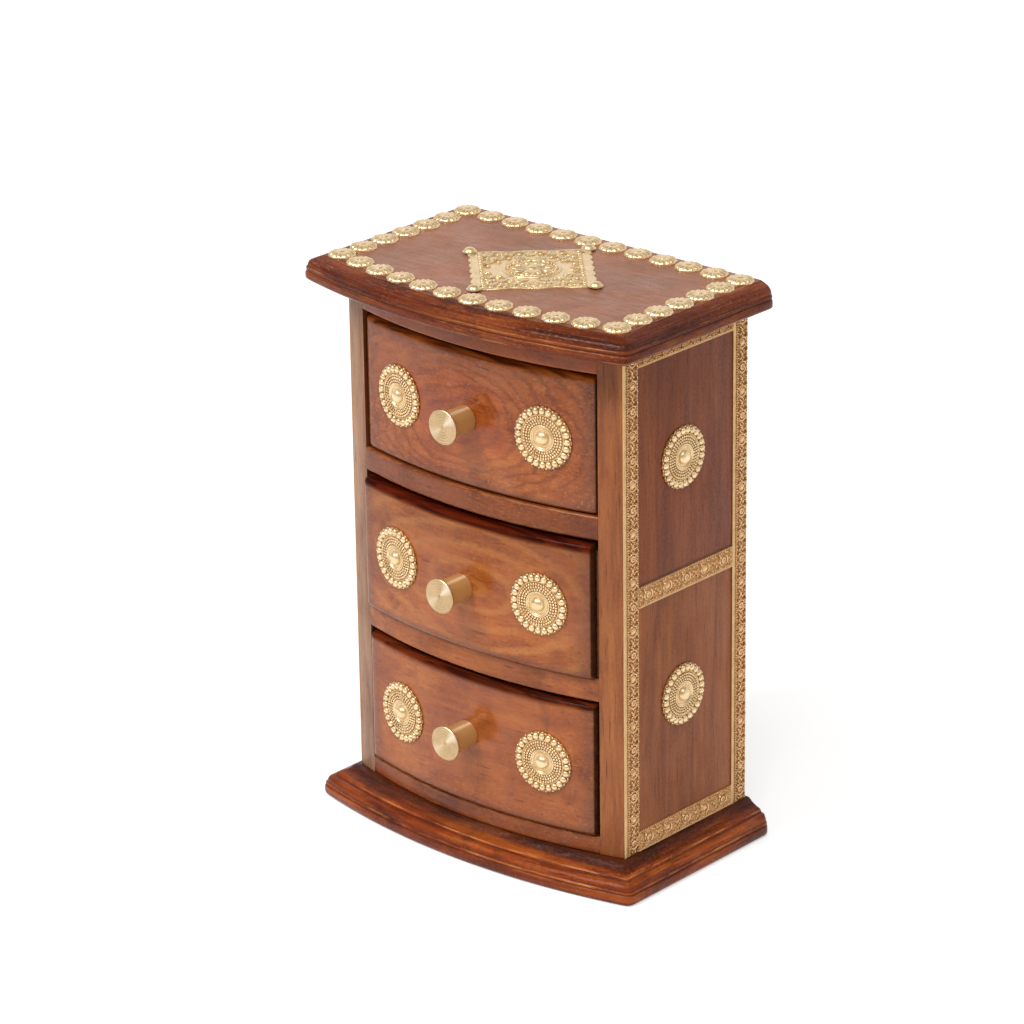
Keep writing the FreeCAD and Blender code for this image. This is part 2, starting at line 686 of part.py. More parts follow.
def rosette_blank():
    """Embossed rosette standing on z = 0: scalloped rim, raised field and faceted boss."""
    body = new_body("rosette")
    rim = new_sketch(body, "XY_Plane")
    draw_star(rim, "Sizes.rosette_scallops", "Sizes.rosette_radius", "Sizes.rosette_notch_radius")
    pad(body, rim, "Sizes.rosette_rim_height")
    field = draw_star(new_sketch(body, "XY_Plane"), "Sizes.rosette_scallops", "Sizes.rosette_field_radius")
    pad(body, field, "Sizes.rosette_field_height")
    boss = draw_star(new_sketch(body, "XY_Plane"), "Sizes.rosette_boss_sides", "Sizes.rosette_boss_radius")
    bevelled_pad(body, boss, "Sizes.rosette_boss_height", "Sizes.rosette_boss_bevel")
    return body


def drawer_rosettes(shift):
    """Two rosettes laid on the bowed front, each square to it."""
    places = []
    spread = number("Sizes.rosette_spread")
    for side in (-1, 1):
        x = side * spread
        tilt = math.degrees(math.asin(x / number(CASE_RADIUS)))
        face = bow_front(x, CASE_RADIUS, FRONT_APEX)
        places.append(spot(x, face, "Sizes.rosette_rise", tilt, 90))
    return copies(rosette, [shift.multiply(item) for item in places])


rosette = rosette_blank()

for tier, name in enumerate(("bottom", "middle", "top")):
    drawer = name + "_drawer"
    shift_y = "-(Sizes.%s_out + Sizes.closed_recess)" % drawer
    floor = opening_floor(tier)
    knob_height = "Sizes.%s_knob_height" % name
    front = keep(drawer + "_front", drawer_front(drawer + "_front", knob_height))
    place(front, y=shift_y, z=floor)
    right = keep(drawer + "_right_side", drawer_side(drawer + "_right_side"))
    place(right, y=shift_y, z=floor)
    keep(drawer + "_left_side", mirrored(right))
    rear = part_box(
        "-%s" % BOX_INNER,
        "%s - Sizes.drawer_back_thickness + %s" % (BOX_REAR, shift_y),
        "%s + %s" % (floor, BOTTOM_FACE),
        "2 * %s" % BOX_INNER,
        "Sizes.drawer_back_thickness",
        "%s - %s" % (SIDE_TOP, BOTTOM_FACE),
    )
    keep(drawer + "_back", rear)
    bottom_half = "(%s + Sizes.bottom_groove_depth - Sizes.bottom_clearance)" % BOX_INNER
    bottom_front = "(%s - Sizes.bottom_groove_depth + Sizes.bottom_clearance)" % FRONT_REAR
    floor_board = part_box(
        "-%s" % bottom_half,
        "%s + %s" % (bottom_front, shift_y),
        "%s + %s" % (floor, GROOVE_LOW),
        "2 * %s" % bottom_half,
        "%s - %s" % (BOX_REAR, bottom_front),
        "Sizes.drawer_bottom_thickness",
    )
    keep(drawer + "_bottom", floor_board)
    knob = keep(drawer + "_knob", drawer_knob(drawer + "_knob"))
    place(knob, "0", "%s + %s" % (FRONT_APEX, shift_y), "%s + %s" % (floor, knob_height))
    screw = keep(drawer + "_knob_screw", knob_screw(drawer + "_knob_screw"))
    place(screw, "0", "%s + %s" % (FRONT_REAR, shift_y), "%s + %s" % (floor, knob_height))
    keep(drawer + "_rosettes", drawer_rosettes(spot("0", shift_y, floor)))

# ---- brass strips and rosettes on the side panels ----

STRIP_OUT = "(%s + Sizes.strip_thickness)" % CASE_HALF
BAND_OUT = "(%s + Sizes.strip_band_thickness)" % CASE_HALF
STRIP_FRONT = "(-%s + Sizes.strip_width)" % CASE_BACK
STRIP_REAR = "(%s - Sizes.strip_width)" % CASE_BACK


def strip_section(edge, toward):
    """Section across a strip as (out from the case's middle, across): plain band at edge, then embossed."""
    band = "(%s + %d * Sizes.strip_band_width)" % (edge, toward)
    far = "(%s + %d * Sizes.strip_width)" % (edge, toward)
    corners = [(CASE_HALF, edge), (BAND_OUT, edge), (BAND_OUT, band), (STRIP_OUT, band), (STRIP_OUT, far)]
    corners.append((CASE_HALF, far))
    return corners if toward > 0 else corners[::-1]


def upright_strip(label, edge, toward):
    body = new_body(label)
    section = new_sketch(body, "XY_Plane", out="Sizes.plinth_height")
    pad(body, draw_outline(section, strip_section(edge, toward)), CASE_HEIGHT)
    return body


def level_strip(label, corners):
    """Strip between the two upright ones, its section standing in the XZ plane."""
    body = new_body(label)
    section = new_sketch(body, "XZ_Plane", out="-%s" % STRIP_REAR)
    pad(body, draw_outline(section, corners), "%s - %s" % (STRIP_REAR, STRIP_FRONT))
    return body


middle_low = "(Sizes.middle_strip_centre - Sizes.strip_width / 2)"
top_low = "(%s - Sizes.strip_width)" % CASE_TOP
bottom_section = [
    (CASE_HALF, "Sizes.plinth_height"),
    (STRIP_OUT, "Sizes.plinth_height"),
    (STRIP_OUT, "Sizes.plinth_height + Sizes.strip_width"),
    (CASE_HALF, "Sizes.plinth_height + Sizes.strip_width"),
]
STRIPS = {
    "front": upright_strip("front_strip_blank", "-%s" % CASE_BACK, 1),
    "back": upright_strip("back_strip_blank", STRIP_REAR, 1),
    "middle": level_strip("middle_strip_blank", strip_section(middle_low, 1)),
    "top": level_strip("top_strip_blank", strip_section(top_low, 1)),
    "bottom": level_strip("bottom_strip_blank", bottom_section),
}
for name, strip in STRIPS.items():
    keep("right_%s_strip" % name, strip)
    keep("left_%s_strip" % name, mirrored(strip))

for name, side in (("right", 1), ("left", -1)):
    heights = ("Sizes.side_rosette_low", "Sizes.side_rosette_high")
    outside = side * number(CASE_HALF)
    places = [spot(outside, "-Sizes.side_rosette_setback", z, side * 90, 90) for z in heights]
    keep("%s_side_rosettes" % name, copies(rosette, places))

# ---- trim on the top: ring of flower discs, plaque and its studs ----


def flower_blank():
    """Flower disc on z = 0: one facet for each petal and a sloping edge."""
    body = new_body("flower")
    petals = draw_star(new_sketch(body, "XY_Plane"), "Sizes.flower_petals", "Sizes.flower_radius")
    bevelled_pad(body, petals, "Sizes.flower_height", "Sizes.flower_bevel")
    return body


def flower_places():
    """A ring just inside the edge of the flat: straight at the back and ends, bowed at the front."""
    inset = number("Sizes.flat_inset + Sizes.flower_inset")
    half = number(TOP_HALF) - inset
    rear = number("%s + Sizes.back_overhang - Sizes.flower_inset" % CASE_BACK)
    centre = number("%s + %s" % (TOP_APEX, TOP_RADIUS))
    radius = number(TOP_RADIUS) - inset
    across = int(number("Sizes.flowers_across"))
    between = int(number("Sizes.flowers_between"))
    swing = math.asin(half / radius)
    corner = centre - radius * math.cos(swing)
    ring = []
    for i in range(across):
        share = 2 * i / (across - 1) - 1
        ring.append((share * half, rear))
        ring.append((radius * math.sin(share * swing), centre - radius * math.cos(share * swing)))
    for i in range(1, between + 1):
        y = corner + (rear - corner) * i / (between + 1)
        ring += [(-half, y), (half, y)]
    return ring


def plaque_board():
    """Embossed plaque: scalloped on two edges, waved on the other two, with a raised round medallion."""
    body = new_body("plaque")
    half = "(Sizes.plaque_width / 2)"
    end = "(Sizes.plaque_length / 2)"
    scallops = int(number("Sizes.plaque_scallops"))
    waves = int(number("Sizes.plaque_waves"))
    right = [(half, "%s * (2 * %d / Sizes.plaque_scallops - 1)" % (end, i)) for i in range(scallops)]
    rear = [("%s * (1 - 2 * %d / Sizes.plaque_waves)" % (half, i), end) for i in range(waves)]
    left = [("-%s" % x, "-(%s)" % y) for x, y in right]
    front = [("-(%s)" % x, "-%s" % y) for x, y in rear]
    radii = ["Sizes.plaque_scallop_radius"] * scallops + ["Sizes.plaque_wave_radius"] * waves
    curves = dict(enumerate(radii * 2))
    sheet_outline = draw_outline(new_sketch(body, "XY_Plane"), right + rear + left + front, curves)
    pad(body, sheet_outline, "Sizes.plaque_thickness")
    medallion = draw_star(new_sketch(body, "XY_Plane"), "Sizes.medallion_petals", "Sizes.medallion_radius")
    bevelled_pad(body, medallion, "Sizes.medallion_height", "Sizes.medallion_bevel")
    return body


def corner_stud():
    """Stud with its head standing on z = 0 and its square pin below."""
    body = new_body("stud")
    head = draw_star(new_sketch(body, "XY_Plane"), "Sizes.stud_facets", "Sizes.stud_radius")
    bevelled_pad(body, head, "Sizes.stud_height", "Sizes.stud_bevel")
    pin = new_sketch(body, "XY_Plane", out="-Sizes.stud_pin_length")
    side = "Sizes.stud_pin_width / 2"
    draw_box(pin, "-%s" % side, "-%s" % side, side, side)
    pad(body, pin, "Sizes.stud_pin_length")
    return body


flower = flower_blank()
keep("top_flower_discs", copies(flower, [spot(x, y, TOP_FACE) for x, y in flower_places()]))

plaque_blank = plaque_board()
plaque_blank.Placement.Rotation = FreeCAD.Rotation(FreeCAD.Vector(0, 0, 1), number("Sizes.plaque_turn"))
place(plaque_blank, "0", "Sizes.plaque_centre", TOP_FACE)

stud = corner_stud()
stud_level = "%s + Sizes.plaque_thickness" % TOP_FACE
stud_reach = number("Sizes.stud_spacing / sqrt(2)")
stud_places = []
for quarter in range(4):
    bearing = math.radians(number("Sizes.plaque_turn") + 45 + 90 * quarter)
    x = stud_reach * math.cos(bearing)
    y = number("Sizes.plaque_centre") + stud_reach * math.sin(bearing)
    stud_places.append(spot(x, y, stud_level))
studs = keep("plaque_studs", copies(stud, stud_places))
keep("top_plaque", drilled(plaque_blank, studs))
keep("top_board", drilled(top_blank, studs))

# ---- check and write every piece ----

doc.recompute()
for item in doc.Objects:
    if "Invalid" in item.State or "Error" in item.State:
        raise ValueError("%s (%s) failed: %s" % (item.Name, item.Label, item.State))
os.makedirs("parts", exist_ok=True)
for piece in pieces:
    shape = piece.Shape
    if shape.isNull() or not shape.isValid():
        raise ValueError("%s has no valid shape" % piece.Label)
    shape.exportStep("parts/%s.step" % piece.Label)
    print(piece.Label, len(shape.Solids), round(shape.Volume, 2))
print(len(pieces), "pieces")
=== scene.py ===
import math

import bmesh
import bpy
from mathutils import Matrix, Vector, noise


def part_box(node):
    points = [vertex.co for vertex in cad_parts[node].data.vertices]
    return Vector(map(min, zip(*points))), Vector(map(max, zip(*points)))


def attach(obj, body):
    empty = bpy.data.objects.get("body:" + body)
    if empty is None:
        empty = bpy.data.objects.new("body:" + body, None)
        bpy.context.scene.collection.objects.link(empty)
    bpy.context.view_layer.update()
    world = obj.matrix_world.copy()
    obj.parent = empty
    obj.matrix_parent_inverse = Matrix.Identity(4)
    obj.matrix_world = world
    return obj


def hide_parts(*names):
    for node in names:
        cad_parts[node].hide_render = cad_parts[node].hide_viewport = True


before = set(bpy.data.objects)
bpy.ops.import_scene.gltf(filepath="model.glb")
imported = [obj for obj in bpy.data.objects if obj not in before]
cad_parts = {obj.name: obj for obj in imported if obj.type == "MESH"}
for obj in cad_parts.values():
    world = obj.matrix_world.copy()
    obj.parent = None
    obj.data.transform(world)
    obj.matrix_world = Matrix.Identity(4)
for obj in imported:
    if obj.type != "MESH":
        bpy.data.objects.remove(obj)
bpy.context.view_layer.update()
mm = 0.001
scene = bpy.context.scene
scene.view_settings.view_transform = "Standard"
print("frame loaded")


def placed(name, data):
    made = bpy.data.objects.new(name, data)
    scene.collection.objects.link(made)
    return made


# camera

cameraLook = {
    "target": (-0.01691, 0.0, 0.10924),
    "distance": 1.5417,
    "azimuth": 41.88,
    "elevation": 21.29,
    "roll": -0.82,
    "lens": 155.6,
}


def aimed(target, look):  # stands off from the target and looks back at it
    turn, rise = math.radians(look["azimuth"]), math.radians(look["elevation"])
    out = Vector((math.sin(turn) * math.cos(rise), -math.cos(turn) * math.cos(rise), math.sin(rise)))
    facing = out.to_track_quat("Z", "Y").to_matrix().to_4x4()
    return Matrix.Translation(Vector(target) + out * look["distance"]) @ facing


def makeCamera(look):
    data = bpy.data.cameras.new("camera")
    data.sensor_width = 36
    data.lens = look["lens"]
    data.clip_end = 20
    scene.camera = placed("camera", data)
    roll = Matrix.Rotation(math.radians(look["roll"]), 4, "Z")
    scene.camera.matrix_world = aimed(look["target"], look) @ roll


makeCamera(cameraLook)

# shader building


class NodeBench:  # lays out the nodes of one tree
    def __init__(self, tree, prefix="ShaderNode"):
        self.tree, self.prefix = tree, prefix

    def give(self, socket, value):
        if isinstance(value, bpy.types.NodeSocket):
            self.tree.links.new(value, socket)
        elif isinstance(value, (tuple, list)) and len(value) == 3 and len(socket.default_value) == 4:
            socket.default_value = (*value, 1)
        else:
            socket.default_value = value

    def node(self, kind, inputs=(), **settings):
        whole = kind if kind.startswith(("Shader", "Function")) else self.prefix + kind
        made = self.tree.nodes.new(whole)
        for key, value in settings.items():
            setattr(made, key, value)
        for key, value in dict(inputs).items():
            self.give(made.inputs[key], value)
        return made

    def math(self, kind, a, b=0.0):
        return self.node("ShaderNodeMath", {0: a, 1: b}, operation=kind).outputs[0]

    def times(self, a, b):
        return self.math("MULTIPLY", a, b)

    def plus(self, a, b):
        return self.math("ADD", a, b)

    def step(self, value, low, high, out=(0, 1)):
        return self.node("ShaderNodeMapRange", {"Value": value, "From Min": low, "From Max": high,
                                                "To Min": out[0], "To Max": out[1]}).outputs[0]

    def axes(self, vector):
        return self.node("ShaderNodeSeparateXYZ", {0: vector}).outputs


class Recipe(NodeBench):  # one procedural material
    def __init__(self, name):
        self.material = bpy.data.materials.new(name)
        self.material.use_nodes = True
        super().__init__(self.material.node_tree)
        self.shader = self.tree.nodes["Principled BSDF"]
        place = self.node("TexCoord").outputs
        self.coords, self.normal, self.flow = place["Object"], place["Normal"], place["UV"]

    def mapped(self, vector, place=(0, 0, 0), stretch=(1, 1, 1)):
        return self.node("Mapping", {"Vector": vector, "Location": place, "Scale": stretch}).outputs[0]

    def grain(self, vector, size, detail=3, rough=0.55, bend=0):
        return self.node("TexNoise", {"Vector": vector, "Scale": size, "Detail": detail, "Roughness": rough,
                                      "Distortion": bend}).outputs[0]

    def away(self, value, middle=0.0):
        return self.math("ABSOLUTE", self.math("SUBTRACT", value, middle))

    def ramp(self, value, stops):
        made = self.node("ValToRGB", {"Fac": value})
        marks = made.color_ramp.elements
        while len(marks) < len(stops):
            marks.new(0.5)
        for mark, (place, colour) in zip(marks, stops):
            mark.position = place
            mark.color = (*colour, 1)
        return made.outputs[0]

    def blend(self, amount, a, b, kind="MIX"):
        made = self.node("Mix", data_type="RGBA", blend_type=kind)
        for place, value in ((0, amount), (6, a), (7, b)):
            self.give(made.inputs[place], value)
        return made.outputs[2]

    def tinted(self, tone, colour):
        return self.blend(1.0, tone, colour, "MULTIPLY")

    def tag(self, name):
        return self.node("Attribute", attribute_name=name).outputs["Fac"]

    def bump(self, height, depth):
        made = self.node("Bump", {"Height": height, "Distance": depth, "Strength": 1.0})
        self.give(self.shader.inputs["Normal"], made.outputs[0])

    def finish(self, **values):
        for key, value in values.items():
            self.give(self.shader.inputs[key.replace("_", " ")], value)
        return self.material


# wood finishes

woodLooks = {
    "drawer": {
        "grain": 0, "dark": (0.19, 0.036, 0.008), "mid": (0.30, 0.072, 0.013), "light": (0.43, 0.125, 0.024),
        "pore": (0.08, 0.014, 0.004), "worn": (0.50, 0.17, 0.045), "stain": (0.07, 0.012, 0.005),
        "fleck": (0.60, 0.26, 0.09), "ends": (0.13, 0.035, 0.014), "endGrain": (0.020, 0.006, 0.002),
        "gloss": (0.18, 0.36), "coat": (0.10, 0.36), "wear": 0.25, "mottled": 0.42, "flecks": 0.4,
    },
    "panel": {
        "grain": 2, "dark": (0.14, 0.034, 0.009), "mid": (0.235, 0.064, 0.017), "light": (0.32, 0.098, 0.028),
        "pore": (0.06, 0.014, 0.005), "worn": (0.50, 0.20, 0.07), "stain": (0.08, 0.018, 0.007),
        "fleck": (0.40, 0.15, 0.05), "gloss": (0.34, 0.5), "coat": (0.02, 0.08), "wear": 0.3, "mottled": 0.1,
        "flecks": 0.12, "patches": 0.14,
    },
    "rail": {
        "grain": 0, "dark": (0.12, 0.024, 0.006), "mid": (0.25, 0.062, 0.014), "light": (0.36, 0.10, 0.024),
        "pore": (0.05, 0.010, 0.004), "worn": (0.50, 0.18, 0.05), "stain": (0.03, 0.006, 0.003),
        "fleck": (0.50, 0.22, 0.08), "gloss": (0.28, 0.44), "coat": (0.04, 0.2), "wear": 0.4, "mottled": 0.35,
        "flecks": 0.3,
    },
    "moulding": {
        "grain": 0, "dark": (0.052, 0.007, 0.002), "mid": (0.20, 0.035, 0.005), "light": (0.44, 0.12, 0.02),
        "pore": (0.03, 0.005, 0.002), "worn": (0.60, 0.24, 0.075), "stain": (0.022, 0.005, 0.002),
        "fleck": (0.62, 0.25, 0.07), "flat": (0.305, 0.118, 0.060), "smoke": 0.75, "shine": (0.06, 0.24),
        "gloss": (0.26, 0.46), "coat": (0.02, 0.13), "wear": 0.9, "mottled": 0.2, "flecks": 0.3,
    },
    "box": {
        "grain": 0, "dark": (0.22, 0.085, 0.030), "mid": (0.36, 0.165, 0.070), "light": (0.48, 0.25, 0.115),
        "pore": (0.12, 0.045, 0.018), "worn": (0.55, 0.30, 0.14), "stain": (0.10, 0.035, 0.015),
        "fleck": (0.55, 0.32, 0.16), "gloss": (0.5, 0.65), "coat": (0.0, 0.0), "wear": 0.5, "mottled": 0.12,
        "flecks": 0.2, "patches": 0.2,
    },
}
panelTints = {  # how the side panels differ from front to side, left to right and low to high: the front faces are painted lighter as lit, the left front paler with a painted reflection, and line is a painted shadow above the middle strip
    "front": (1.5, 1.75, 1.95), "bleached": (1.52, 2.95, 6.4), "upper": (0.94, 0.77, 0.58),
    "lower": (1.28, 1.27, 1.0), "line": (0.1089, 0.1101), "betweenStrips": 0.025,
}
figures = {  # the rings about each drawer front's heart, at x and z in metres; crown holds the painted shade along the upper edge, base the front's foot
    "top_drawer": {
        "heart": (-0.002, 0.1585), "long": 0.6, "pitch": 0.0036, "wobble": 0.018, "strength": 0.55,
        "seed": 0.11,
        "size": 0.0175, "line": (0.15, 0.024, 0.006), "inner": (1.05, 0.93, 0.82), "tint": (1.06, 1.04, 0.92),
        "crown": ((0.09, 0.014, 0.003), (0.36, 0.09, 0.014)), "base": 0.1356,
    },
    "middle_drawer": {
        "heart": (0.004, 0.101), "long": 0.46, "pitch": 0.0066, "wobble": 0.006, "strength": 0.6,
        "seed": 0.57,
        "size": 0.0215, "line": (0.46, 0.15, 0.036), "inner": (1.15, 1.12, 1.0), "tint": (1.25, 1.38, 1.3),
        "crown": ((0.03, 0.003, 0.001), (0.10, 0.011, 0.002)), "base": 0.0771,
    },
    "bottom_drawer": {
        "heart": (0.026, 0.004), "long": 0.55, "pitch": 0.0090, "wobble": 0.014, "strength": 0.2,
        "seed": 0.83,
        "size": 0.002, "line": (0.20, 0.038, 0.010), "inner": (1, 1, 1), "tint": (1.2, 1.25, 1.2),
        "crown": ((0.035, 0.005, 0.002), (0.13, 0.02, 0.004)), "base": 0.0186,
    },
}
grainLooks = {  # stretch along the grain, shift, size, detail, roughness, bend
    "streaks": (0.10, 0.0, 120, 5, 0.62, 0.8), "bands": (0.06, 0.3, 480, 3, 0.6, 0.4),
    "fibres": (0.045, 0.0, 2100, 3, 0.7, 0), "pores": (0.05, 0.7, 1500, 2, 0.5, 0),
    "smoke": (0.3, 0.9, 80, 3, 0.6, 0.6), "flecks": (0.45, 0.4, 1500, 3, 0.65, 0),
    "fray": (0.16, 0.2, 520, 4, 0.65, 0), "lumps": (0.35, 0.0, 160, 3, 0.5, 0),
}
mouldingGrains = {
    **grainLooks, "streaks": (0.10, 0.0, 190, 5, 0.62, 0.8), "bands": (0.06, 0.3, 700, 3, 0.6, 0.4),
    "lumps": (0.45, 0.0, 260, 3, 0.5, 0),
}
bumpDepths = {"plain": 0.00012, "moulding": 0.0006}


class Wood(Recipe):
    def __init__(self, name, look, figure=None):
        super().__init__(name)
        self.look, self.figure = look, figure
        self.moulded = "flat" in look  # the grain then runs along the moulding's own UV map
        self.seed = figure["seed"] if figure else 0.0
        self.bands, self.fibres, self.fray = self.along("bands"), self.along("fibres"), self.along("fray")
        self.mottle = self.grain(self.coords, 46, 4, 0.6, 0.4)
        self.broad = self.grain(self.mapped(self.coords, place=(self.seed,) * 3), 26, 3, 0.6, 0.5)
        self.cloud = self.grain(self.coords, 70, 4, 0.62, 0.5)
        if figure:
            x, _, z = self.axes(self.coords)
            self.left = self.step(x, -0.045, -0.015, (0.25, 1))
            self.height, self.across = z, self.away(x)
            sideways = self.away(self.axes(self.normal)[0])
            self.cutEnd = self.times(self.step(sideways, 0.45, 0.85), self.step(self.across, 0.0509, 0.0514))

    def along(self, name):
        stretch, shift, size, detail, rough, bend = (mouldingGrains if self.moulded else grainLooks)[name]
        if name in ("streaks", "bands"):
            shift += self.seed
        scale = [1.0, 1.0, 1.0]
        scale[self.look["grain"]] = stretch
        place = self.mapped(self.flow if self.moulded else self.coords, (shift,) * 3, scale)
        return self.grain(place, size, detail, rough, bend)

    def baseTone(self):
        share = self.look["mottled"]
        streaks = self.times(self.along("streaks"), 0.7 * (1 - share))
        bands = self.times(self.bands, 0.3 * (1 - share))
        value = self.plus(self.plus(streaks, bands), self.times(self.mottle, share))
        stops = zip((0.36, 0.5, 0.66), (self.look["dark"], self.look["mid"], self.look["light"]))
        return self.ramp(value, list(stops))

    def growthRings(self, tone):
        figure, (x, z) = self.figure, self.figure["heart"]
        oval = self.mapped(self.coords, (-x * figure["long"], 0, -z), (figure["long"], 0, 1))
        wobble = self.grain(self.mapped(self.coords, stretch=(0.5, 1, 1)), 48)
        reach = self.node("VectorMath", {0: oval}, operation="LENGTH").outputs["Value"]
        reach = self.plus(reach, self.times(self.math("SUBTRACT", wobble, 0.5), figure["wobble"]))
        inside = self.step(reach, figure["size"], figure["size"] * 0.8)
        tone = self.blend(inside, tone, self.tinted(tone, figure["inner"]))
        wave = self.math("SINE", self.times(reach, 2 * math.pi / figure["pitch"]))
        seen = self.times(self.step(wave, 0.1, 0.95, (0, figure["strength"])),
                          self.step(self.broad, 0.36, 0.56, (0.15, 1)))
        return self.tinted(self.blend(seen, tone, figure["line"]), figure["tint"])

    def calmFlats(self, tone):  # the upper flat is calm, the moulded edge is smoky
        flat = self.look["flat"]
        calm = self.ramp(self.plus(self.times(self.bands, 0.5), self.times(self.mottle, 0.5)),
                         [(0.36, tuple(c * 0.78 for c in flat)), (0.64, tuple(c * 1.2 for c in flat))])
        upward = self.axes(self.normal)[2]
        self.top = self.times(self.step(upward, 0.93, 0.995), self.step(self.tag("calm"), 0.5, 1))
        smoke = self.step(self.along("smoke"), 0.48, 0.66, (0, self.look["smoke"]))
        return self.blend(self.top, self.blend(smoke, tone, self.look["dark"]), calm)

    def facedPanel(self, tone):
        tints, out, spot = self.look["faces"], self.axes(self.normal), self.axes(self.coords)
        outer = self.step(self.times(out[0], spot[0]), 0.03, 0.05)
        # painted light: the front faces lighter and paler than the sides, the left front paler still as a
        # painted reflection of the backdrop
        front = self.blend(self.step(spot[0], -0.02, -0.03), tints["front"], tints["bleached"])
        halves = self.blend(self.step(spot[2], 0.101, 0.109), tints["lower"], tints["upper"])
        sides = self.blend(outer, (1, 1, 1), halves)
        # painted shadow of the middle strip: a dark line on the outer sides just above it
        low, high = tints["line"]
        below = self.step(spot[2], high, high - 0.0005, (0, 0.7))
        shade = self.times(self.step(spot[2], low, low + 0.0002), below)
        edge = tints["betweenStrips"]
        between = self.step(self.away(spot[1]), edge + 0.0002, edge - 0.0002)
        self.line = self.times(self.times(shade, outer), between)
        return self.tinted(tone, self.blend(self.step(out[1], -0.5, -0.9), sides, front))

    def agedAndShaded(self, tone):
        look = self.look
        tone = self.blend(self.times(self.step(self.along("pores"), 0.62, 0.72), 0.6), tone, look["pore"])
        tone = self.blend(self.step(self.fibres, 0.35, 0.75, (0.0, 0.3)), tone, look["dark"])
        patches = self.step(self.cloud, 0.56, 0.72, (0, look.get("patches", 0.45)))
        if self.moulded:
            patches = self.times(patches, self.step(self.top, 0, 1, (1, 0.12)))
        tone = self.blend(patches, tone, look["stain"])
        low = 0.0
        if self.figure:
            base = self.figure["base"]
            uneven = self.step(self.mottle, 0.3, 0.6, (0.2, 0.85))
            ends = self.times(self.step(self.across, 0.0435, 0.0505), uneven)
            tone = self.blend(ends, tone, look["ends"])
            low = self.step(self.height, base + 0.015, base + 0.005, (0, 0.85))
        zone = self.math("MAXIMUM", self.step(self.broad, 0.46, 0.6, (0.1, 1)), low)
        flecks = self.times(self.step(self.along("flecks"), 0.54, 0.68), zone)
        tone = self.blend(self.times(flecks, look["flecks"]), tone, look["fleck"])
        if self.figure:
            # painted shade along the foot of each drawer front, beside the gap below it
            foot = self.step(self.height, base + 0.0035, base + 0.001)
            tone = self.blend(self.times(foot, 0.7), tone, look["ends"])
        worn = self.step(self.times(self.tag("edge"), self.step(self.fray, 0.42, 0.66)), 0.12, 0.55)
        worn = self.times(worn, self.step(self.broad, 0.36, 0.6, (0.3, 1)))
        tone = self.blend(self.times(worn, look["wear"]), tone, look["worn"])
        # darker along the groove tag: in the hollows of the section, beneath the board and where it meets the
        # case
        darkening = self.times(self.tag("groove"), self.step(self.fray, 0.3, 0.5, (0.95, 0.7)))
        return self.blend(darkening, tone, look["stain"])

    def darkEdges(self, tone):  # painted shade along a drawer's upper edge, and its end grain stained and darkened to near black as painted shade of the gap beside it
        crown = self.blend(self.step(self.bands, 0.4, 0.62), *self.figure["crown"])
        tone = self.blend(self.tag("crown"), tone, crown)
        # the end faces: end grain stained darker and taken to near black as painted shade of the gap beside
        # the drawer
        soakedAndShaded = self.times(self.cutEnd, self.step(self.fray, 0.3, 0.7, (0.97, 0.8)))
        return self.blend(soakedAndShaded, tone, self.look["endGrain"])

    def varnished(self, tone):
        look = self.look
        depth = bumpDepths["moulding" if self.moulded else "plain"]
        self.bump(self.plus(self.times(self.fibres, 0.12), self.along("lumps")), depth)
        coat = self.step(self.broad, 0.62, 0.4, look["coat"])
        shine = self.step(self.grain(self.coords, 900, 3, 0.7), 0.3, 0.7, look.get("shine", (0.12, 0.36)))
        if self.figure:
            bare = self.times(self.step(self.tag("crown"), 0.2, 0.7, (1, 0.1)),
                              self.step(self.cutEnd, 0.1, 0.9, (1, 0.06)))
            coat, shine = self.times(self.times(coat, self.left), bare), self.times(shine, bare)
        gloss = self.step(self.cloud, 0.32, 0.68, look["gloss"])
        return self.finish(Base_Color=tone, Roughness=gloss, Specular_IOR_Level=shine, Coat_Weight=coat,
                           Coat_Roughness=0.09)


def makeWood(name, look, figure=None):
    wood = Wood(name, look, figure)
    tone = wood.baseTone()
    if figure:
        tone = wood.growthRings(tone)
    if "tint" in look:
        tone = wood.tinted(tone, look["tint"])
    if wood.moulded:
        tone = wood.calmFlats(tone)
    if "faces" in look:
        tone = wood.facedPanel(tone)
    tone = wood.agedAndShaded(tone)
    if figure:
        tone = wood.darkEdges(tone)
    # the painted shadow line above the middle strip
    if "faces" in look:
        tone = wood.blend(wood.line, tone, look["stain"])
    return wood.varnished(tone)


shelfTints = {
    "bottom_shelf": (1.02, 0.97, 0.97), "lower_shelf": (1.4, 1.5, 1.45), "upper_shelf": (0.82, 0.76, 0.74),
    "top_shelf": (1.15, 0.9, 0.5),
}
mouldingTints = {"plinth_board": (1.3, 1.2, 1.06), "top_board": (0.80, 0.70, 0.62)}


def tintedWoods(kind, tints):
    return {name: makeWood(name + "_grain", {**woodLooks[kind], "tint": tints[name]}) for name in tints}


drawerWoods = {drawer: makeWood(drawer + "Wood", woodLooks["drawer"], figures[drawer]) for drawer in figures}
panelWood = makeWood("panelWood", {**woodLooks["panel"], "faces": panelTints})
railWoods = tintedWoods("rail", shelfTints)
mouldingWoods = tintedWoods("moulding", mouldingTints)
boxWood = makeWood("boxWood", woodLooks["box"])
boxSideWood = makeWood("boxSideWood", {**woodLooks["box"], "grain": 1})
backWood = makeWood("backWood", {**woodLooks["panel"], "gloss": (0.5, 0.65)})

# metal finishes

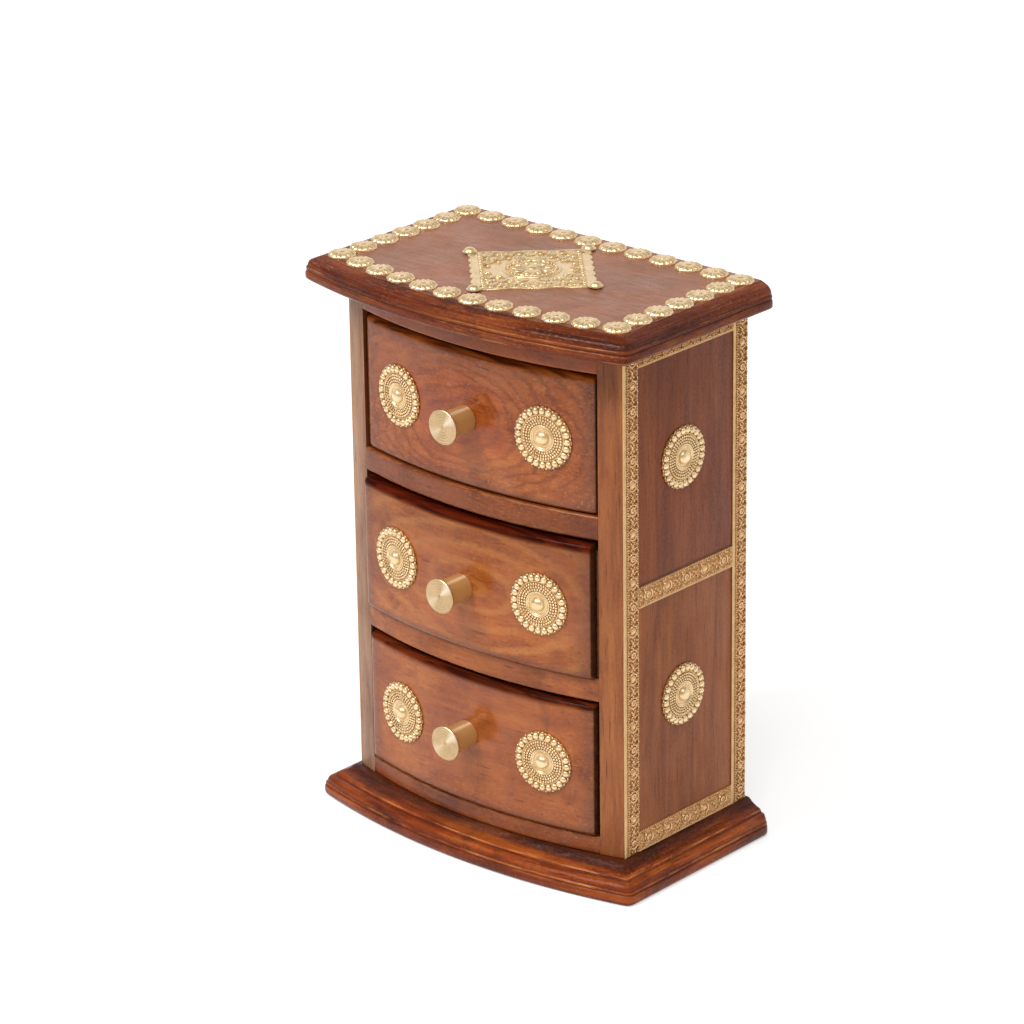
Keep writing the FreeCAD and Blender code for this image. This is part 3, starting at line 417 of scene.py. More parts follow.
metalLooks = {
    "trimBrass": {"deep": (0.74, 0.53, 0.27), "pale": (0.95, 0.75, 0.47), "rough": (0.3, 0.42), "metal": 0.72,
                  "recess": (0.50, 0.80), "tarnish": (0.46, 0.24, 0.08)},
    "stripBrass": {"deep": (0.66, 0.40, 0.18), "pale": (0.88, 0.58, 0.30), "rough": (0.32, 0.44),
                   "metal": 0.65,
                   "recess": (0.305, 0.38), "tarnish": (0.48, 0.24, 0.085), "band": (0.76, 0.78, 0.74)},
    "plaqueBrass": {"deep": (0.66, 0.46, 0.23), "pale": (0.88, 0.67, 0.39), "rough": (0.24, 0.34),
                    "metal": 0.68},
    "discBrass": {"deep": (0.76, 0.53, 0.27), "pale": (0.95, 0.71, 0.42), "rough": (0.24, 0.34),
                  "metal": 0.72, "hammer": 0.00004},
    "knobBrass": {"deep": (0.48, 0.33, 0.17), "pale": (0.66, 0.48, 0.27), "rough": (0.3, 0.36), "metal": 0.8,
                  "turned": 0.8, "tarnish": (0.44, 0.26, 0.11), "neck": (0.60, 0.34, 0.12), "neckMetal": 0.35,
                  "neckLift": (10.0, 9.4), "glint": (1.0, 0.88, 0.70), "neckGlint": (1.0, 0.78, 0.50)},
    "screwSteel": {"deep": (0.42, 0.41, 0.40), "pale": (0.60, 0.59, 0.57), "rough": (0.3, 0.42),
                   "metal": 1.0},
    "nailIron": {"deep": (0.10, 0.09, 0.085), "pale": (0.22, 0.20, 0.19), "rough": (0.4, 0.6), "metal": 1.0},
}
# painted highlights on the knob: where round the turn each glint lies, how wide it is and how strong
knobGlints = {"main": (0.12, 0.085, 0.6), "opposite": (0.6, 0.09, 0.3), "neck": (0.19, 0.035, 0.75)}


def turnedBrass(brass, look, tone):  # lathe marks stretch the shine across them, and painted highlights fan out on the face and run along the neck
    marks = brass.node("CombineXYZ", {0: brass.tag("spread"), 1: brass.tag("lift")}).outputs[0]
    scored = brass.step(brass.grain(marks, 2.4, 3, 0.7), 0.35, 0.7, (0, 0.5))
    tone = brass.blend(scored, tone, look["tarnish"])
    # painted highlights: a fan from the middle towards the upper right, a fainter one opposite, and a streak
    # along the neck
    around = brass.axes(brass.flow)[0]
    glints = {part: brass.step(brass.away(around, middle), 0.0, reach, (strength, 0))
              for part, (middle, reach, strength) in knobGlints.items()}
    clear = brass.step(brass.tag("spread"), 0.2, 1.5)
    fan = brass.times(brass.plus(glints["main"], glints["opposite"]), clear)
    tone = brass.blend(fan, tone, look["glint"])
    neck = brass.step(brass.tag("lift"), *look["neckLift"])
    tone = brass.blend(neck, tone, brass.blend(glints["neck"], look["neck"], look["neckGlint"]))
    tangent = brass.node("Tangent", direction_type="UV_MAP", uv_map="flow").outputs[0]
    brass.finish(Anisotropic=look["turned"], Tangent=tangent)
    return tone, brass.step(neck, 0, 1, (look["metal"], look["neckMetal"]))


def makeMetal(name, look):
    brass = Recipe(name)
    cloud, fine = brass.grain(brass.coords, 260, 3, 0.6), brass.grain(brass.coords, 2200, 2, 0.5)
    tone = brass.ramp(brass.plus(brass.times(cloud, 0.7), brass.times(fine, 0.3)),
                      [(0.34, look["deep"]), (0.66, look["pale"])])
    metal = look["metal"]
    if "recess" in look:  # tarnish left in the low parts of the pressing
        tone = brass.blend(brass.step(brass.tag("lift"), *look["recess"], (1, 0)), tone, look["tarnish"])
    if "band" in look:  # the strip's plain edge
        lift = brass.tag("lift")
        edge = brass.times(brass.step(lift, 0.40, 0.44), brass.step(lift, 0.475, 0.455))
        tone = brass.blend(edge, tone, brass.tinted(tone, look["band"]))
    if "turned" in look:
        tone, metal = turnedBrass(brass, look, tone)
    brass.bump(fine, look.get("hammer", 0.00002))
    return brass.finish(Base_Color=tone, Metallic=metal, Roughness=brass.step(cloud, 0.3, 0.7, look["rough"]))


metals = {name: makeMetal(name, look) for name, look in metalLooks.items()}
print("materials made")

# measures that several pieces share, read from the frame

panelLow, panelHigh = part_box("right_side_panel")
caseHalf, innerHalf = panelHigh.x, panelLow.x
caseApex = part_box("upper_shelf")[0].y
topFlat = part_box("top_board")[1].z


def bowRadius(half, sagitta):
    return (half * half + sagitta * sagitta) / (2 * sagitta)


caseRadius = bowRadius(caseHalf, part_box("right_front_strip")[0].y - caseApex)


def bowY(x, apex, radius):
    return apex + radius - math.sqrt(radius * radius - x * x)


def bowRun(half, apex, radius, count):
    reach = math.asin(half / radius)
    turns = [reach * (2 * i / count - 1) for i in range(count + 1)]
    return [(radius * math.sin(t), apex + radius - radius * math.cos(t)) for t in turns]


def spread(start, end, count):
    return [start + (end - start) * i / count for i in range(count + 1)]


def line(start, end, count):
    return list(zip(spread(start[0], end[0], count), spread(start[1], end[1], count)))


# mesh building


def sleeveFaces(size, rings):  # quads between closed rings of points
    pairs = [(row * size + i, row * size + (i + 1) % size) for row in range(rings - 1) for i in range(size)]
    return [(here, there, there + size, here + size) for here, there in pairs]


def capFaces(size, total):
    return [tuple(range(size))[::-1], tuple(range(total - size, total))]


def fanFaces(size, rings):  # closes both end rings on two centre points, which come last
    last, bottom, top = (rings - 1) * size, rings * size, rings * size + 1
    pairs = [(((i + 1) % size, i, bottom), (last + i, last + (i + 1) % size, top)) for i in range(size)]
    return [face for pair in pairs for face in pair]


def makeMesh(name, points, faces, tags=None, flow=None):
    mesh = bpy.data.meshes.new(name)
    mesh.from_pydata([tuple(p) for p in points], [], faces)
    for tag, values in (tags or {}).items():
        mesh.attributes.new(tag, "FLOAT", "POINT").data.foreach_set("value", values)
    if flow:
        mesh.uv_layers.new(name="flow").data.foreach_set("uv", [c for uv in flow for c in uv])
    work = bmesh.new()
    work.from_mesh(mesh)
    bmesh.ops.remove_doubles(work, verts=work.verts, dist=1e-7)
    bmesh.ops.recalc_face_normals(work, faces=work.faces)
    work.to_mesh(mesh)
    work.free()
    return placed(name, mesh)


def pieceFrom(work, name):
    mesh = bpy.data.meshes.new(name)
    work.to_mesh(mesh)
    work.free()
    return placed(name, mesh)


def finishPiece(piece, material, body, stands=(), angle=40):
    piece.data.materials.clear()
    piece.data.materials.append(material)
    piece.data.shade_smooth()
    piece.data.set_sharp_from_angle(angle=math.radians(angle))
    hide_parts(*stands)
    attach(piece, body)


def bake(piece):
    shown = piece.evaluated_get(bpy.context.evaluated_depsgraph_get())
    mesh = bpy.data.meshes.new_from_object(shown)
    piece.modifiers.clear()
    piece.data = mesh


def reaches(spots):  # how far along the run each point lies
    lengths = [0.0]
    for here, there in zip(spots, spots[1:]):
        lengths.append(lengths[-1] + (there - here).length)
    return lengths


def trimmedRun(run, cut):  # the same run, shorter by cut at both ends and evenly stepped
    spots = [Vector(spot) for spot in run]
    reach, last = reaches(spots), len(spots) - 1
    margin = min(cut, reach[-1] * 0.42)
    even = []
    for want in spread(margin, reach[-1] - margin, last):
        i = min(sum(1 for length in reach if length <= want) - 1, last - 1)
        even.append(spots[i].lerp(spots[i + 1], (want - reach[i]) / (reach[i + 1] - reach[i])))
    return even


def softLoop(runs, cut):  # a closed outline whose corners are eased by cut
    trimmed = [trimmedRun(run, cut) for run in runs]
    points, corners = [], []
    for i, run in enumerate(trimmed):
        points += run
        corners += [0.55] + [0.0] * (len(run) - 2) + [0.55]
        corner, after = Vector(runs[i][-1]), trimmed[(i + 1) % len(runs)][0]
        for t in (0.33, 0.67):
            points.append(run[-1] * (1 - t) ** 2 + corner * 2 * t * (1 - t) + after * t * t)
            corners.append(1.0)
    return points, corners


def loft(name, outline, profile, ease, wearCorners):  # profile rows are inset, height, wear, darkening
    points, flow, along, across = [], [], [], [0.0]
    tags = {"edge": [], "groove": [], "calm": []}
    for row, (inset, height, wear, darkening) in enumerate(profile):
        loop, corners = softLoop(outline(inset), max(ease - inset * 0.75, ease * 0.2))
        points += [(x, y, height) for x, y in loop]
        outer = 0 < row < len(profile) - 1
        tags["edge"] += [max(wear, c * wearCorners * outer) for c in corners]
        tags["groove"] += [darkening] * len(loop)
        tags["calm"] += [0.0 if outer else 1.0] * len(loop)
        if row:
            across.append(across[-1] + math.dist(profile[row][:2], profile[row - 1][:2]))
        along = along or reaches([*loop, loop[0]])
    size, caps = len(loop), capFaces(len(loop), len(points))
    for row in range(len(profile) - 1):
        for i in range(size):
            flow += [(along[i + u], across[row + v]) for u, v in ((0, 0), (1, 0), (1, 1), (0, 1))]
    flow += [points[i][:2] for cap in caps for i in cap]
    return makeMesh(name, points, sleeveFaces(size, len(profile)) + caps, tags, flow)


def roundedProfile(low, high, radius, fade, steps=4, topWear=1.0):
    rows = [(radius + fade, low, 0, 0)]
    for i in range(steps + 1):
        t = math.pi / 2 * i / steps
        wear = math.sin(2 * t) * 0.7 + 0.3
        rows.append((radius * (1 - math.sin(t)), low + radius * (1 - math.cos(t)), wear, 0))
    rows.append((0, low + radius + fade, 0, 0))
    return rows + [(inset, high + low - height, wear * topWear, darkening)
                   for inset, height, wear, darkening in reversed(rows)]


def tonguedOutline(front, half, step, tongue, rear, sideCount):  # a bowed front that steps in to a tongue
    right = line(front[-1], (half, step), 4)
    shoulder = line(right[-1], (tongue, step), 2)
    side = line(shoulder[-1], (tongue, rear), sideCount)
    mirrored = [[(-x, y) for x, y in reversed(run)] for run in (side, shoulder, right)]
    return [front, right, shoulder, side, line((tongue, rear), (-tongue, rear), 10), *mirrored]


# moulded boards

mouldings = {  # corners of the section: inset, height, swell, wear and, where one isn't eased, darkening
    "plinth_board": {
        "profile": [(4, 0, 0, 0, 0.8), (1.5, 0, 0, 0, 1), (0.8, 0.25, 0, 0, 0.8), (0.2, 0.9, 0, 0, 0.3),
                    (0, 1.7, 0, 0.2), (0, 3.5, 0, 0.25), (0.25, 3.9, 0, 0, 0.3), (0.55, 4.05, 0, 0, 0.55),
                    (0.55, 4.3, 0, 0, 0.55), (0.25, 4.5, 0, 0.9), (0.45, 5.0, 0, 0.7),
                    (0.9, 5.25, 0.75, 0, 0.5),
                    (3.7, 7.6, 0, 0, 0.7), (3.9, 7.9, 0, 0, 0.6), (4.1, 8.5, 0, 0.75), (4.7, 8.9, 0, 0.2),
                    (5.6, 9.2, 0, 0, 0.3), (6.8, 9.75, 0, 0, 0.55), (8.0, 10.5, 0, 0, 0.85),
                    (8.8, 11.3, 0, 0, 1), (9.4, 11.7, 0, 0, 1), (14, 11.7, 0, 0, 1)],
        "corner": -42.2,
    },
    "top_board": {
        "profile": [(12, 0, 0, 0, 1), (4, 0, 0, 0, 0.8), (1.4, 0, 0, 0, 0.5), (0.6, 0.3, 0, 0.5),
                    (0.05, 0.9, 0, 0.7),
                    (0, 1.5, 0, 0), (0, 2.9, 0, 0.2), (0.25, 3.3, 0, 0.4), (0.6, 3.5, 0, 0, 0.6),
                    (0.6, 3.8, 0, 0, 0.6), (0.3, 4.0, 0, 0.35), (0.35, 4.8, 0, 0.6), (0.9, 5.1, 0.55, 0, 0.5),
                    (2.6, 7.25, 0, 0, 0.7), (2.9, 7.5, 0, 0.5), (5.1, 8.5, 0, 0.2), (5.45, 8.55, 0, 0, 0.8),
                    (5.8, 8.8, 0, 0.4), (7.4, 8.8, 0, 0, 0.25), (9, 8.8, 0, 0)],
        "corner": -43.5,
    },
}
mouldingSamples = {"front": 56, "side": 16, "back": 12, "ease": 2.8, "cornerWear": 0.25}


def softProfile(corners, ease=0.3, arcSteps=10):
    path = []
    for i, (inset, height, swell, wear, *darkening) in enumerate(corners):
        here = Vector((inset, height))
        path.append((here, wear, darkening))
        if swell:
            chord = Vector(corners[i + 1][:2]) - here
            side = Vector((-chord.y, chord.x)).normalized() * swell
            for t in spread(0, 1, arcSteps)[1:-1]:
                path.append((here + chord * t + side * 4 * t * (1 - t), None, []))
    rows = []
    for i, (point, wear, darkening) in enumerate(path):
        if darkening:
            rows.append((point.x, point.y, 0, darkening[0]))
            continue
        if wear is None or i in (0, len(path) - 1):
            rows.append((point.x, point.y, wear or 0, 0))
            continue
        before, after = path[i - 1][0] - point, path[i + 1][0] - point
        cut, bend = min(ease, before.length * 0.4, after.length * 0.4), before.cross(after)
        for start, end, part in ((1.0, 0.0, 0.45), (0.25, 0.25, 1.0), (0.0, 1.0, 0.45)):
            spot = point + before.normalized() * cut * start + after.normalized() * cut * end
            rows.append((spot.x, spot.y, part * wear if bend > 0 else 0, part * wear if bend < 0 else 0))
    return rows


def mouldedBoard(name, look):
    low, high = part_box(name)
    half, back, apex = high.x, high.y, low.y
    radius = bowRadius(half, look["corner"] * mm - apex)

    def outline(inset):
        front = bowRun(half - inset, apex + inset, radius - inset, mouldingSamples["front"])
        right = line(front[-1], (half - inset, back), mouldingSamples["side"])
        rear = line(right[-1], (inset - half, back), mouldingSamples["back"])
        return [front, right, rear, line(rear[-1], front[0], mouldingSamples["side"])]

    profile = [(i * mm, low.z + h * mm, wear, darkening) for i, h, wear, darkening in softProfile(look["profile"])]
    return loft(name + "_wood", outline, profile, mouldingSamples["ease"] * mm, mouldingSamples["cornerWear"])


for name, look in mouldings.items():
    finishPiece(mouldedBoard(name, look), mouldingWoods[name], "case", [name])
print("mouldings made")

# case shelves and panels

shelfLook = {"round": 0.9, "fade": 1.6, "tongueStart": 8.1, "corner": 0.15, "cornerWear": 0.3}
panelLook = {"eased": 0.5, "segments": 3, "angle": 50}


def makeShelf(name, look):
    low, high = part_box(name)
    stop = bowY(innerHalf, caseApex, caseRadius) + look["tongueStart"] * mm

    def outline(inset):
        behind = inset * 0.15
        front = bowRun(innerHalf - behind, caseApex + inset, caseRadius - inset, 44)
        return tonguedOutline(front, innerHalf - behind, stop, high.x - behind, high.y - behind, 6)

    profile = roundedProfile(low.z, high.z, look["round"] * mm, look["fade"] * mm)
    return loft(name + "_wood", outline, profile, look["corner"] * mm, look["cornerWear"])


def makePanel(node, look):  # the built panel with its edges eased
    work = bmesh.new()
    work.from_mesh(bpy.data.objects[node].data)
    bmesh.ops.remove_doubles(work, verts=work.verts, dist=1e-6)
    bmesh.ops.dissolve_limit(work, angle_limit=math.radians(1), verts=work.verts, edges=work.edges)
    bmesh.ops.recalc_face_normals(work, faces=work.faces)
    panel = pieceFrom(work, node + "_wood")
    bevel = panel.modifiers.new("eased edges", "BEVEL")
    bevel.width = look["eased"] * mm
    bevel.segments = look["segments"]
    bevel.limit_method = "ANGLE"
    bevel.angle_limit = math.radians(look["angle"])
    bake(panel)
    return panel


for name, wood in railWoods.items():
    finishPiece(makeShelf(name, shelfLook), wood, "case", [name])
for name in ("left_side_panel", "right_side_panel"):
    finishPiece(makePanel(name, panelLook), panelWood, "case", [name])
print("case made")

# drawer fronts

drawers = ("top_drawer", "middle_drawer", "bottom_drawer")
drawerLook = {
    "round": 1.9, "corner": 2.0, "cornerWear": 0.6, "fade": 1.4, "lap": 4.0, "boxInset": 4.5, "arcEnd": 7.11,
    "crownDepth": {"top_drawer": 2.8, "middle_drawer": 4.0, "bottom_drawer": 2.8}, "crownFade": 1.8,
}


def makeDrawerFront(drawer, look):
    low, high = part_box(drawer + "_front")
    half, rear = high.x, high.y
    lap, tongue = rear - look["lap"] * mm, half - look["boxInset"] * mm
    radius = bowRadius(half, look["arcEnd"] * mm)

    def outline(inset):
        behind = inset * 0.15
        front = bowRun(half - inset, low.y + inset, radius - inset, 48)
        return tonguedOutline(front, half - behind, lap - behind, tongue - behind, rear - behind, 2)

    profile = roundedProfile(low.z, high.z, look["round"] * mm, look["fade"] * mm, 6, 0.0)
    front = loft(drawer + "_front_wood", outline, profile, look["corner"] * mm, look["cornerWear"])
    # the crown tag marks the band along the top edge that takes the painted shade
    depth = look["crownDepth"][drawer] * mm
    start, slope = high.z - depth, look["crownFade"] / depth
    crown = [min(1, max(0, (v.co.z - start) * slope)) * (v.co.y < lap) for v in front.data.vertices]
    front.data.attributes.new("crown", "FLOAT", "POINT").data.foreach_set("value", crown)
    return front


for drawer in drawers:
    front = makeDrawerFront(drawer, drawerLook)
    finishPiece(front, drawerWoods[drawer], drawer, [drawer + "_front"])
print("drawer fronts made")

# brass trim: turned shapes, and node trees for what repeats


def turnedMesh(name, rows, count, lobes=0, speckle=0.0):  # rows are radius, height, scallop, petal
    points, rings = [], len(rows)
    for radius, height, scallop, petal in rows:
        for i in range(count):
            turn = 2 * math.pi * i / count
            valley = 1 - abs(math.cos(lobes * turn / 2))
            here = (radius - scallop * valley) * mm
            spot = Vector((here * math.cos(turn), here * math.sin(turn), (height - petal * valley) * mm))
            if speckle and height > 0:
                spot.z += speckle * mm * noise.noise(spot * 1800)
            points.append(spot)
    points += [(0, 0, rows[0][1] * mm), (0, 0, rows[-1][1] * mm)]
    flow = [(i + u, row + v) for row in range(rings - 1) for i in range(count)
            for u, v in ((0, 0), (1, 0), (1, 1), (0, 1))]
    for i in range(count):
        flow += [(i + 1, 0), (i, 0), (i + 0.5, -1), (i, rings), (i + 1, rings), (i + 0.5, rings + 1)]
    faces = sleeveFaces(count, rings) + fanFaces(count, rings)
    return makeMesh(name, points, faces, None, [(u / count, v) for u, v in flow])


def scrollMesh(name, look):
    points, sides = [], look["sides"]
    for t in spread(-1, 1, look["steps"]):
        turn = t * math.radians(look["sweep"])
        reach = look["reach"] * (1 - 0.5 * abs(t) ** 3)
        thick = look["thick"] * (0.55 + 0.45 * math.cos(t * 1.4)) + look["curl"] * (abs(t) > 0.9)
        centre = Vector((reach * math.cos(turn), reach * 1.1 * math.sin(turn), 0.1))
        out = Vector((math.cos(turn), math.sin(turn), 0))
        for k in range(sides):
            bend = 2 * math.pi * k / sides
            rise = Vector((0, 0, 1.3 * thick * math.sin(bend)))
            points.append((centre + out * thick * math.cos(bend) + rise) * mm)
    return makeMesh(name, points, sleeveFaces(sides, look["steps"] + 1) + capFaces(sides, len(points)))


class TrimTree(NodeBench):
    def __init__(self, name, inputs):
        group = bpy.data.node_groups.new(name, "GeometryNodeTree")
        super().__init__(group, "GeometryNode")
        for label, kind in (("Geometry", "Geometry"), *inputs, ("Brass", "Material")):
            group.interface.new_socket(label, in_out="INPUT", socket_type="NodeSocket" + kind)
        group.interface.new_socket("Geometry", in_out="OUTPUT", socket_type="NodeSocketGeometry")
        self.given = group.nodes.new("NodeGroupInput").outputs
        self.parts = [self.given["Geometry"]]

    def vector(self, x=0.0, y=0.0, z=0.0):
        return self.node("ShaderNodeCombineXYZ", {0: x, 1: y, 2: z}).outputs[0]

    def bead(self, size, long=1.0, wide=1.0, high=1.0, segments=8, rings=5):
        ball = self.node("MeshUVSphere", {"Segments": segments, "Rings": rings, "Radius": size})
        return self.node("Transform", {"Geometry": ball.outputs[0], "Scale": (long, wide, high)}).outputs[0]

    def shape(self, socket):
        return self.node("ObjectInfo", {"Object": self.given[socket]}).outputs["Geometry"]

    def outwards(self):
        place = self.node("InputPosition").outputs[0]
        return self.node("FunctionNodeAlignRotationToVector", {"Vector": place}, axis="X").outputs[0]

    def scatter(self, points, shape, turn=(0, 0, 0), scale=(1, 1, 1)):
        return self.node("InstanceOnPoints", {"Points": points, "Instance": shape, "Rotation": turn,
                                              "Scale": scale}).outputs[0]

    def ring(self, shape, count, radius, height=0.0, turn=0.0):  # shapes round a circle, long side outwards
        circle = self.node("MeshCircle", {"Vertices": count, "Radius": radius}).outputs[0]
        laid = self.scatter(circle, shape, self.outwards())
        self.parts.append(self.node("Transform", {"Geometry": laid, "Translation": self.vector(z=height),
                                                  "Rotation": (0, 0, turn)}).outputs[0])

    def row(self, shape, count, start, pitch, across, height=0.0, spin=0.0, scale=(1, 1, 1)):
        points = self.node("MeshLine", {"Count": count, "Start Location": self.vector(start, across, height),
                                        "Offset": self.vector(pitch)}).outputs[0]
        self.parts.append(self.scatter(points, shape, (0, 0, spin), scale))

    def close(self):
        joined = self.node("JoinGeometry")
        for part in reversed(self.parts):
            self.give(joined.inputs[0], part)
        real = self.node("RealizeInstances", {"Geometry": joined.outputs[0]})
        last = self.node("SetMaterial", {"Geometry": real.outputs[0], "Material": self.given["Brass"]})
        self.give(self.tree.nodes.new("NodeGroupOutput").inputs[0], last.outputs[0])
        return self.tree


def labelled(values):  # tree inputs for these values: counts are whole numbers
    return [(label, "Int" if isinstance(value, int) else "Float") for label, value in values.items()]


def sized(values):  # lengths in metres, counts as they are
    return {label: value if isinstance(value, int) else value * mm for label, value in values.items()}


def trimmed(base, group, values):  # runs a tree on a piece and keeps the result as a plain mesh
    modifier = base.modifiers.new("trim", "NODES")
    modifier.node_group = group
    sockets = {item.name: item.identifier for item in group.interface.items_tree if item.in_out == "INPUT"}
    for label, value in {**values, "Brass": metals["trimBrass"]}.items():
        modifier[sockets[label]] = value
    bake(base)
    return base


def placedCopies(name, source, places, bow=0.0):  # keeps each point's height and reach on the shape as tags
    work = bmesh.new()
    lift, reach = [], []
    for place in places:
        mesh = source.data.copy()
        lift += [vertex.co.z / mm for vertex in mesh.vertices]
        reach += [math.hypot(vertex.co.x, vertex.co.y) / mm for vertex in mesh.vertices]
        if bow:
            for vertex in mesh.vertices:
                vertex.co.z -= vertex.co.x ** 2 / (2 * bow)
        mesh.transform(place)
        if place.determinant() < 0:
            mesh.flip_normals()
        work.from_mesh(mesh)
        bpy.data.meshes.remove(mesh)
    piece = pieceFrom(work, name)
    for tag, values in (("lift", lift), ("spread", reach)):
        piece.data.attributes.new(tag, "FLOAT", "POINT").data.foreach_set("value", values)
    return piece


def dropShape(*shapes):
    for shape in shapes:
        bpy.data.objects.remove(shape, do_unlink=True)


def facing(x, y, z, turn=0.0, spin=0.0):  # local Z points out of an upright face, turned about the upright
    stood = Matrix.Rotation(turn, 4, "Z") @ Matrix.Rotation(math.pi / 2, 4, "X")
    return Matrix.Translation((x, y, z)) @ stood @ Matrix.Rotation(spin, 4, "Z")


# knobs

knobLook = {"neck": 4.8, "face": 6.15, "length": 11.3, "grooves": 6, "grooveDepth": 0.05}


def knobRows(look):
    neck, face, length = look["neck"], look["face"], look["length"]
    rows = [(neck, 0), (neck, 0.6), (neck - 0.05, 3), (neck, 6), (neck, length - 2.4),
            (neck + 0.15, length - 1.9), (face - 0.25, length - 0.95), (face, length - 0.6),
            (face, length - 0.2), (face - 0.2, length)]
    rim = face - 0.5
    for i in range(look["grooves"]):
        radius = rim * (1 - i / look["grooves"])
        rows += [(radius, length), (radius - 0.12, length - look["grooveDepth"]), (radius - 0.24, length)]
    return [(*row, 0, 0) for row in rows + [(0.34, length - 0.04), (0.24, length - 0.3)]]


knobShape = turnedMesh("knob_shape", knobRows(knobLook), 72)
for drawer in drawers:
    low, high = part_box(drawer + "_knob")
    middle = (low + high) / 2
    knob = placedCopies(drawer + "_knob_brass", knobShape, [facing(middle.x, high.y, middle.z)])
    finishPiece(knob, metals["knobBrass"], drawer, [drawer + "_knob"], 25)
dropShape(knobShape)
print("knobs made")

# rosettes

rosettePlate = [
    (11.1, 0, 0.5, 0), (11.15, 0.3, 0.5, 0), (10.95, 0.5, 0.4, 0), (10.6, 0.5, 0.2, 0), (10.3, 0.42, 0, 0),
    (8.4, 0.42, 0, 0), (8.3, 0.62, 0, 0), (8.1, 0.7, 0, 0), (7.9, 0.62, 0, 0), (7.8, 0.5, 0, 0),
    (4.75, 0.52, 0, 0),
    (4.65, 0.95, 0, 0), (4.45, 1.05, 0, 0), (4.2, 0.95, 0, 0), (4.1, 0.74, 0, 0), (3.95, 0.74, 0, 0),
    (3.85, 1.0, 0, 0), (3.65, 1.08, 0, 0), (3.45, 0.95, 0, 0), (3.35, 0.7, 0, 0), (2.5, 0.66, 0, 0),
    (2.36, 1.15, 0, 0), (2.15, 1.55, 0, 0), (1.7, 2.0, 0, 0), (1.1, 2.28, 0, 0), (0.5, 2.38, 0, 0),
]
rosetteLook = {
    "Pearls": 24, "Pearl Ring": 9.5, "Pearl Size": 1.22, "Edge Beads": 24, "Edge Ring": 10.75,
    "Edge Bead Size": 0.42,
    "Outer Grains": 46, "Outer Ring": 7.25, "Middle Grains": 38, "Middle Ring": 6.25, "Inner Grains": 32,
    "Inner Ring": 5.27, "Grain Size": 0.5,
}
rosettePlaces = {
    "drawerAcross": 32.5, "drawerTurn": 9.72, "sideDepth": -1.5, "sideHeights": (62.8, 149.0),
    "sideSpin": 0.06,
}


def rosetteTree():
    tree = TrimTree("rosetteRings", labelled(rosetteLook))
    given = tree.given
    pearl = tree.bead(given["Pearl Size"], 1.12, 0.98, 0.82, 10, 6)
    tree.ring(pearl, given["Pearls"], given["Pearl Ring"], 0.5 * mm)
    bead, turn = tree.bead(given["Edge Bead Size"], 1.0, 1.1, 0.9), math.pi / rosetteLook["Edge Beads"]
    tree.ring(bead, given["Edge Beads"], given["Edge Ring"], 0.45 * mm, turn)
    grain = tree.bead(given["Grain Size"], 1.0, 0.9, 0.95, 6, 4)
    for ring in ("Outer", "Middle", "Inner"):
        tree.ring(grain, given[ring + " Grains"], given[ring + " Ring"], 0.62 * mm)
    return tree.close()


def drawerRosettes(drawer, look):
    faceLow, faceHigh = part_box(drawer + "_front")
    low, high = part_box(drawer + "_rosettes")
    bow = bowRadius(faceHigh.x, drawerLook["arcEnd"] * mm)
    across, turn = look["drawerAcross"] * mm, math.radians(look["drawerTurn"])
    depth, middle = bowY(across, faceLow.y, bow), (low.z + high.z) / 2
    places = [facing(side * across, depth, middle, side * turn) for side in (-1, 1)]
    return placedCopies(drawer + "_rosettes_brass", rosette, places, bow)


def sideRosettes(side, sign, look):
    turn, spin, depth = sign * math.pi / 2, sign * look["sideSpin"], look["sideDepth"] * mm
    places = [facing(sign * caseHalf, depth, height * mm, turn, spin) for height in look["sideHeights"]]
    return placedCopies(side + "_side_rosettes_brass", rosette, places)


rosette = trimmed(turnedMesh("rosette_shape", rosettePlate, 144, 24), rosetteTree(), sized(rosetteLook))
for drawer in drawers:
    pair = drawerRosettes(drawer, rosettePlaces)
    finishPiece(pair, metals["trimBrass"], drawer, [drawer + "_rosettes"], 45)
for sign, side in ((-1, "left"), (1, "right")):
    pair = sideRosettes(side, sign, rosettePlaces)
    finishPiece(pair, metals["trimBrass"], "case", [side + "_side_rosettes"], 45)
dropShape(rosette)
print("rosettes made")

# pressed strips

stripLook = {
    "both": {"Bead Pitch": 0.88, "Bead Size": 0.3, "Edge Bead Size": 0.34, "Edge Line": 7.22},
    "upright": {"Pitch": 8.9, "Bead Line": 1.95, "Middle": 4.55},
    "level": {"Pitch": 9.6, "Bead Line": 0.85, "Middle": 3.9},
    "band": {"upright": 1.5, "level": 0.4},
    "spread": {"upright": 1.0, "level": 1.22},
}
scrollLook = {"steps": 9, "sides": 5, "sweep": 78, "reach": 2.05, "thick": 0.36, "curl": 0.12}
flowerRows = [(2.25, 0, 0.5, 0), (2.15, 0.3, 0.5, 0), (1.55, 0.46, 0.15, 0.16), (0.95, 0.4, 0, 0),
              (0.78, 0.12, 0, 0), (0.4, 0.12, 0, 0), (0.28, 0.34, 0, 0)]
budRows = [(1.75, 0, 0, 0), (1.7, 0.22, 0, 0), (1.4, 0.3, 0, 0), (1.25, 0.16, 0, 0), (1.12, 0.38, 0, 0),
           (0.62, 0.55, 0, 0)]
stripMotif = [  # what lies between a flower and a bud: along, across, shape, spin and size
    (0, 0, "Leaf", math.pi / 2, 1.0), (0, 1.3, "Scroll", -math.pi / 2, 0.6),
    (0, -1.3, "Scroll", math.pi / 2, 0.6), (1.95, 0, "Dot", 0, 1.1), (-1.95, 0, "Dot", 0, 1.1),
]
stripCorner = [  # what is mirrored both ways, with its spin ahead of the middle and behind it
    (1.1, 0.7, "Leaf", (0.5, -0.5), 0.9), (1.85, 1.55, "Scroll", (0.9, 2.2), 0.5),
    (0.75, 2.0, "Dot", (0, 0), 0.9), (2.9, 2.05, "Leaf", (-0.3, 0.3), 0.7), (3.8, 2.2, "Dot", (0, 0), 0.9),
]


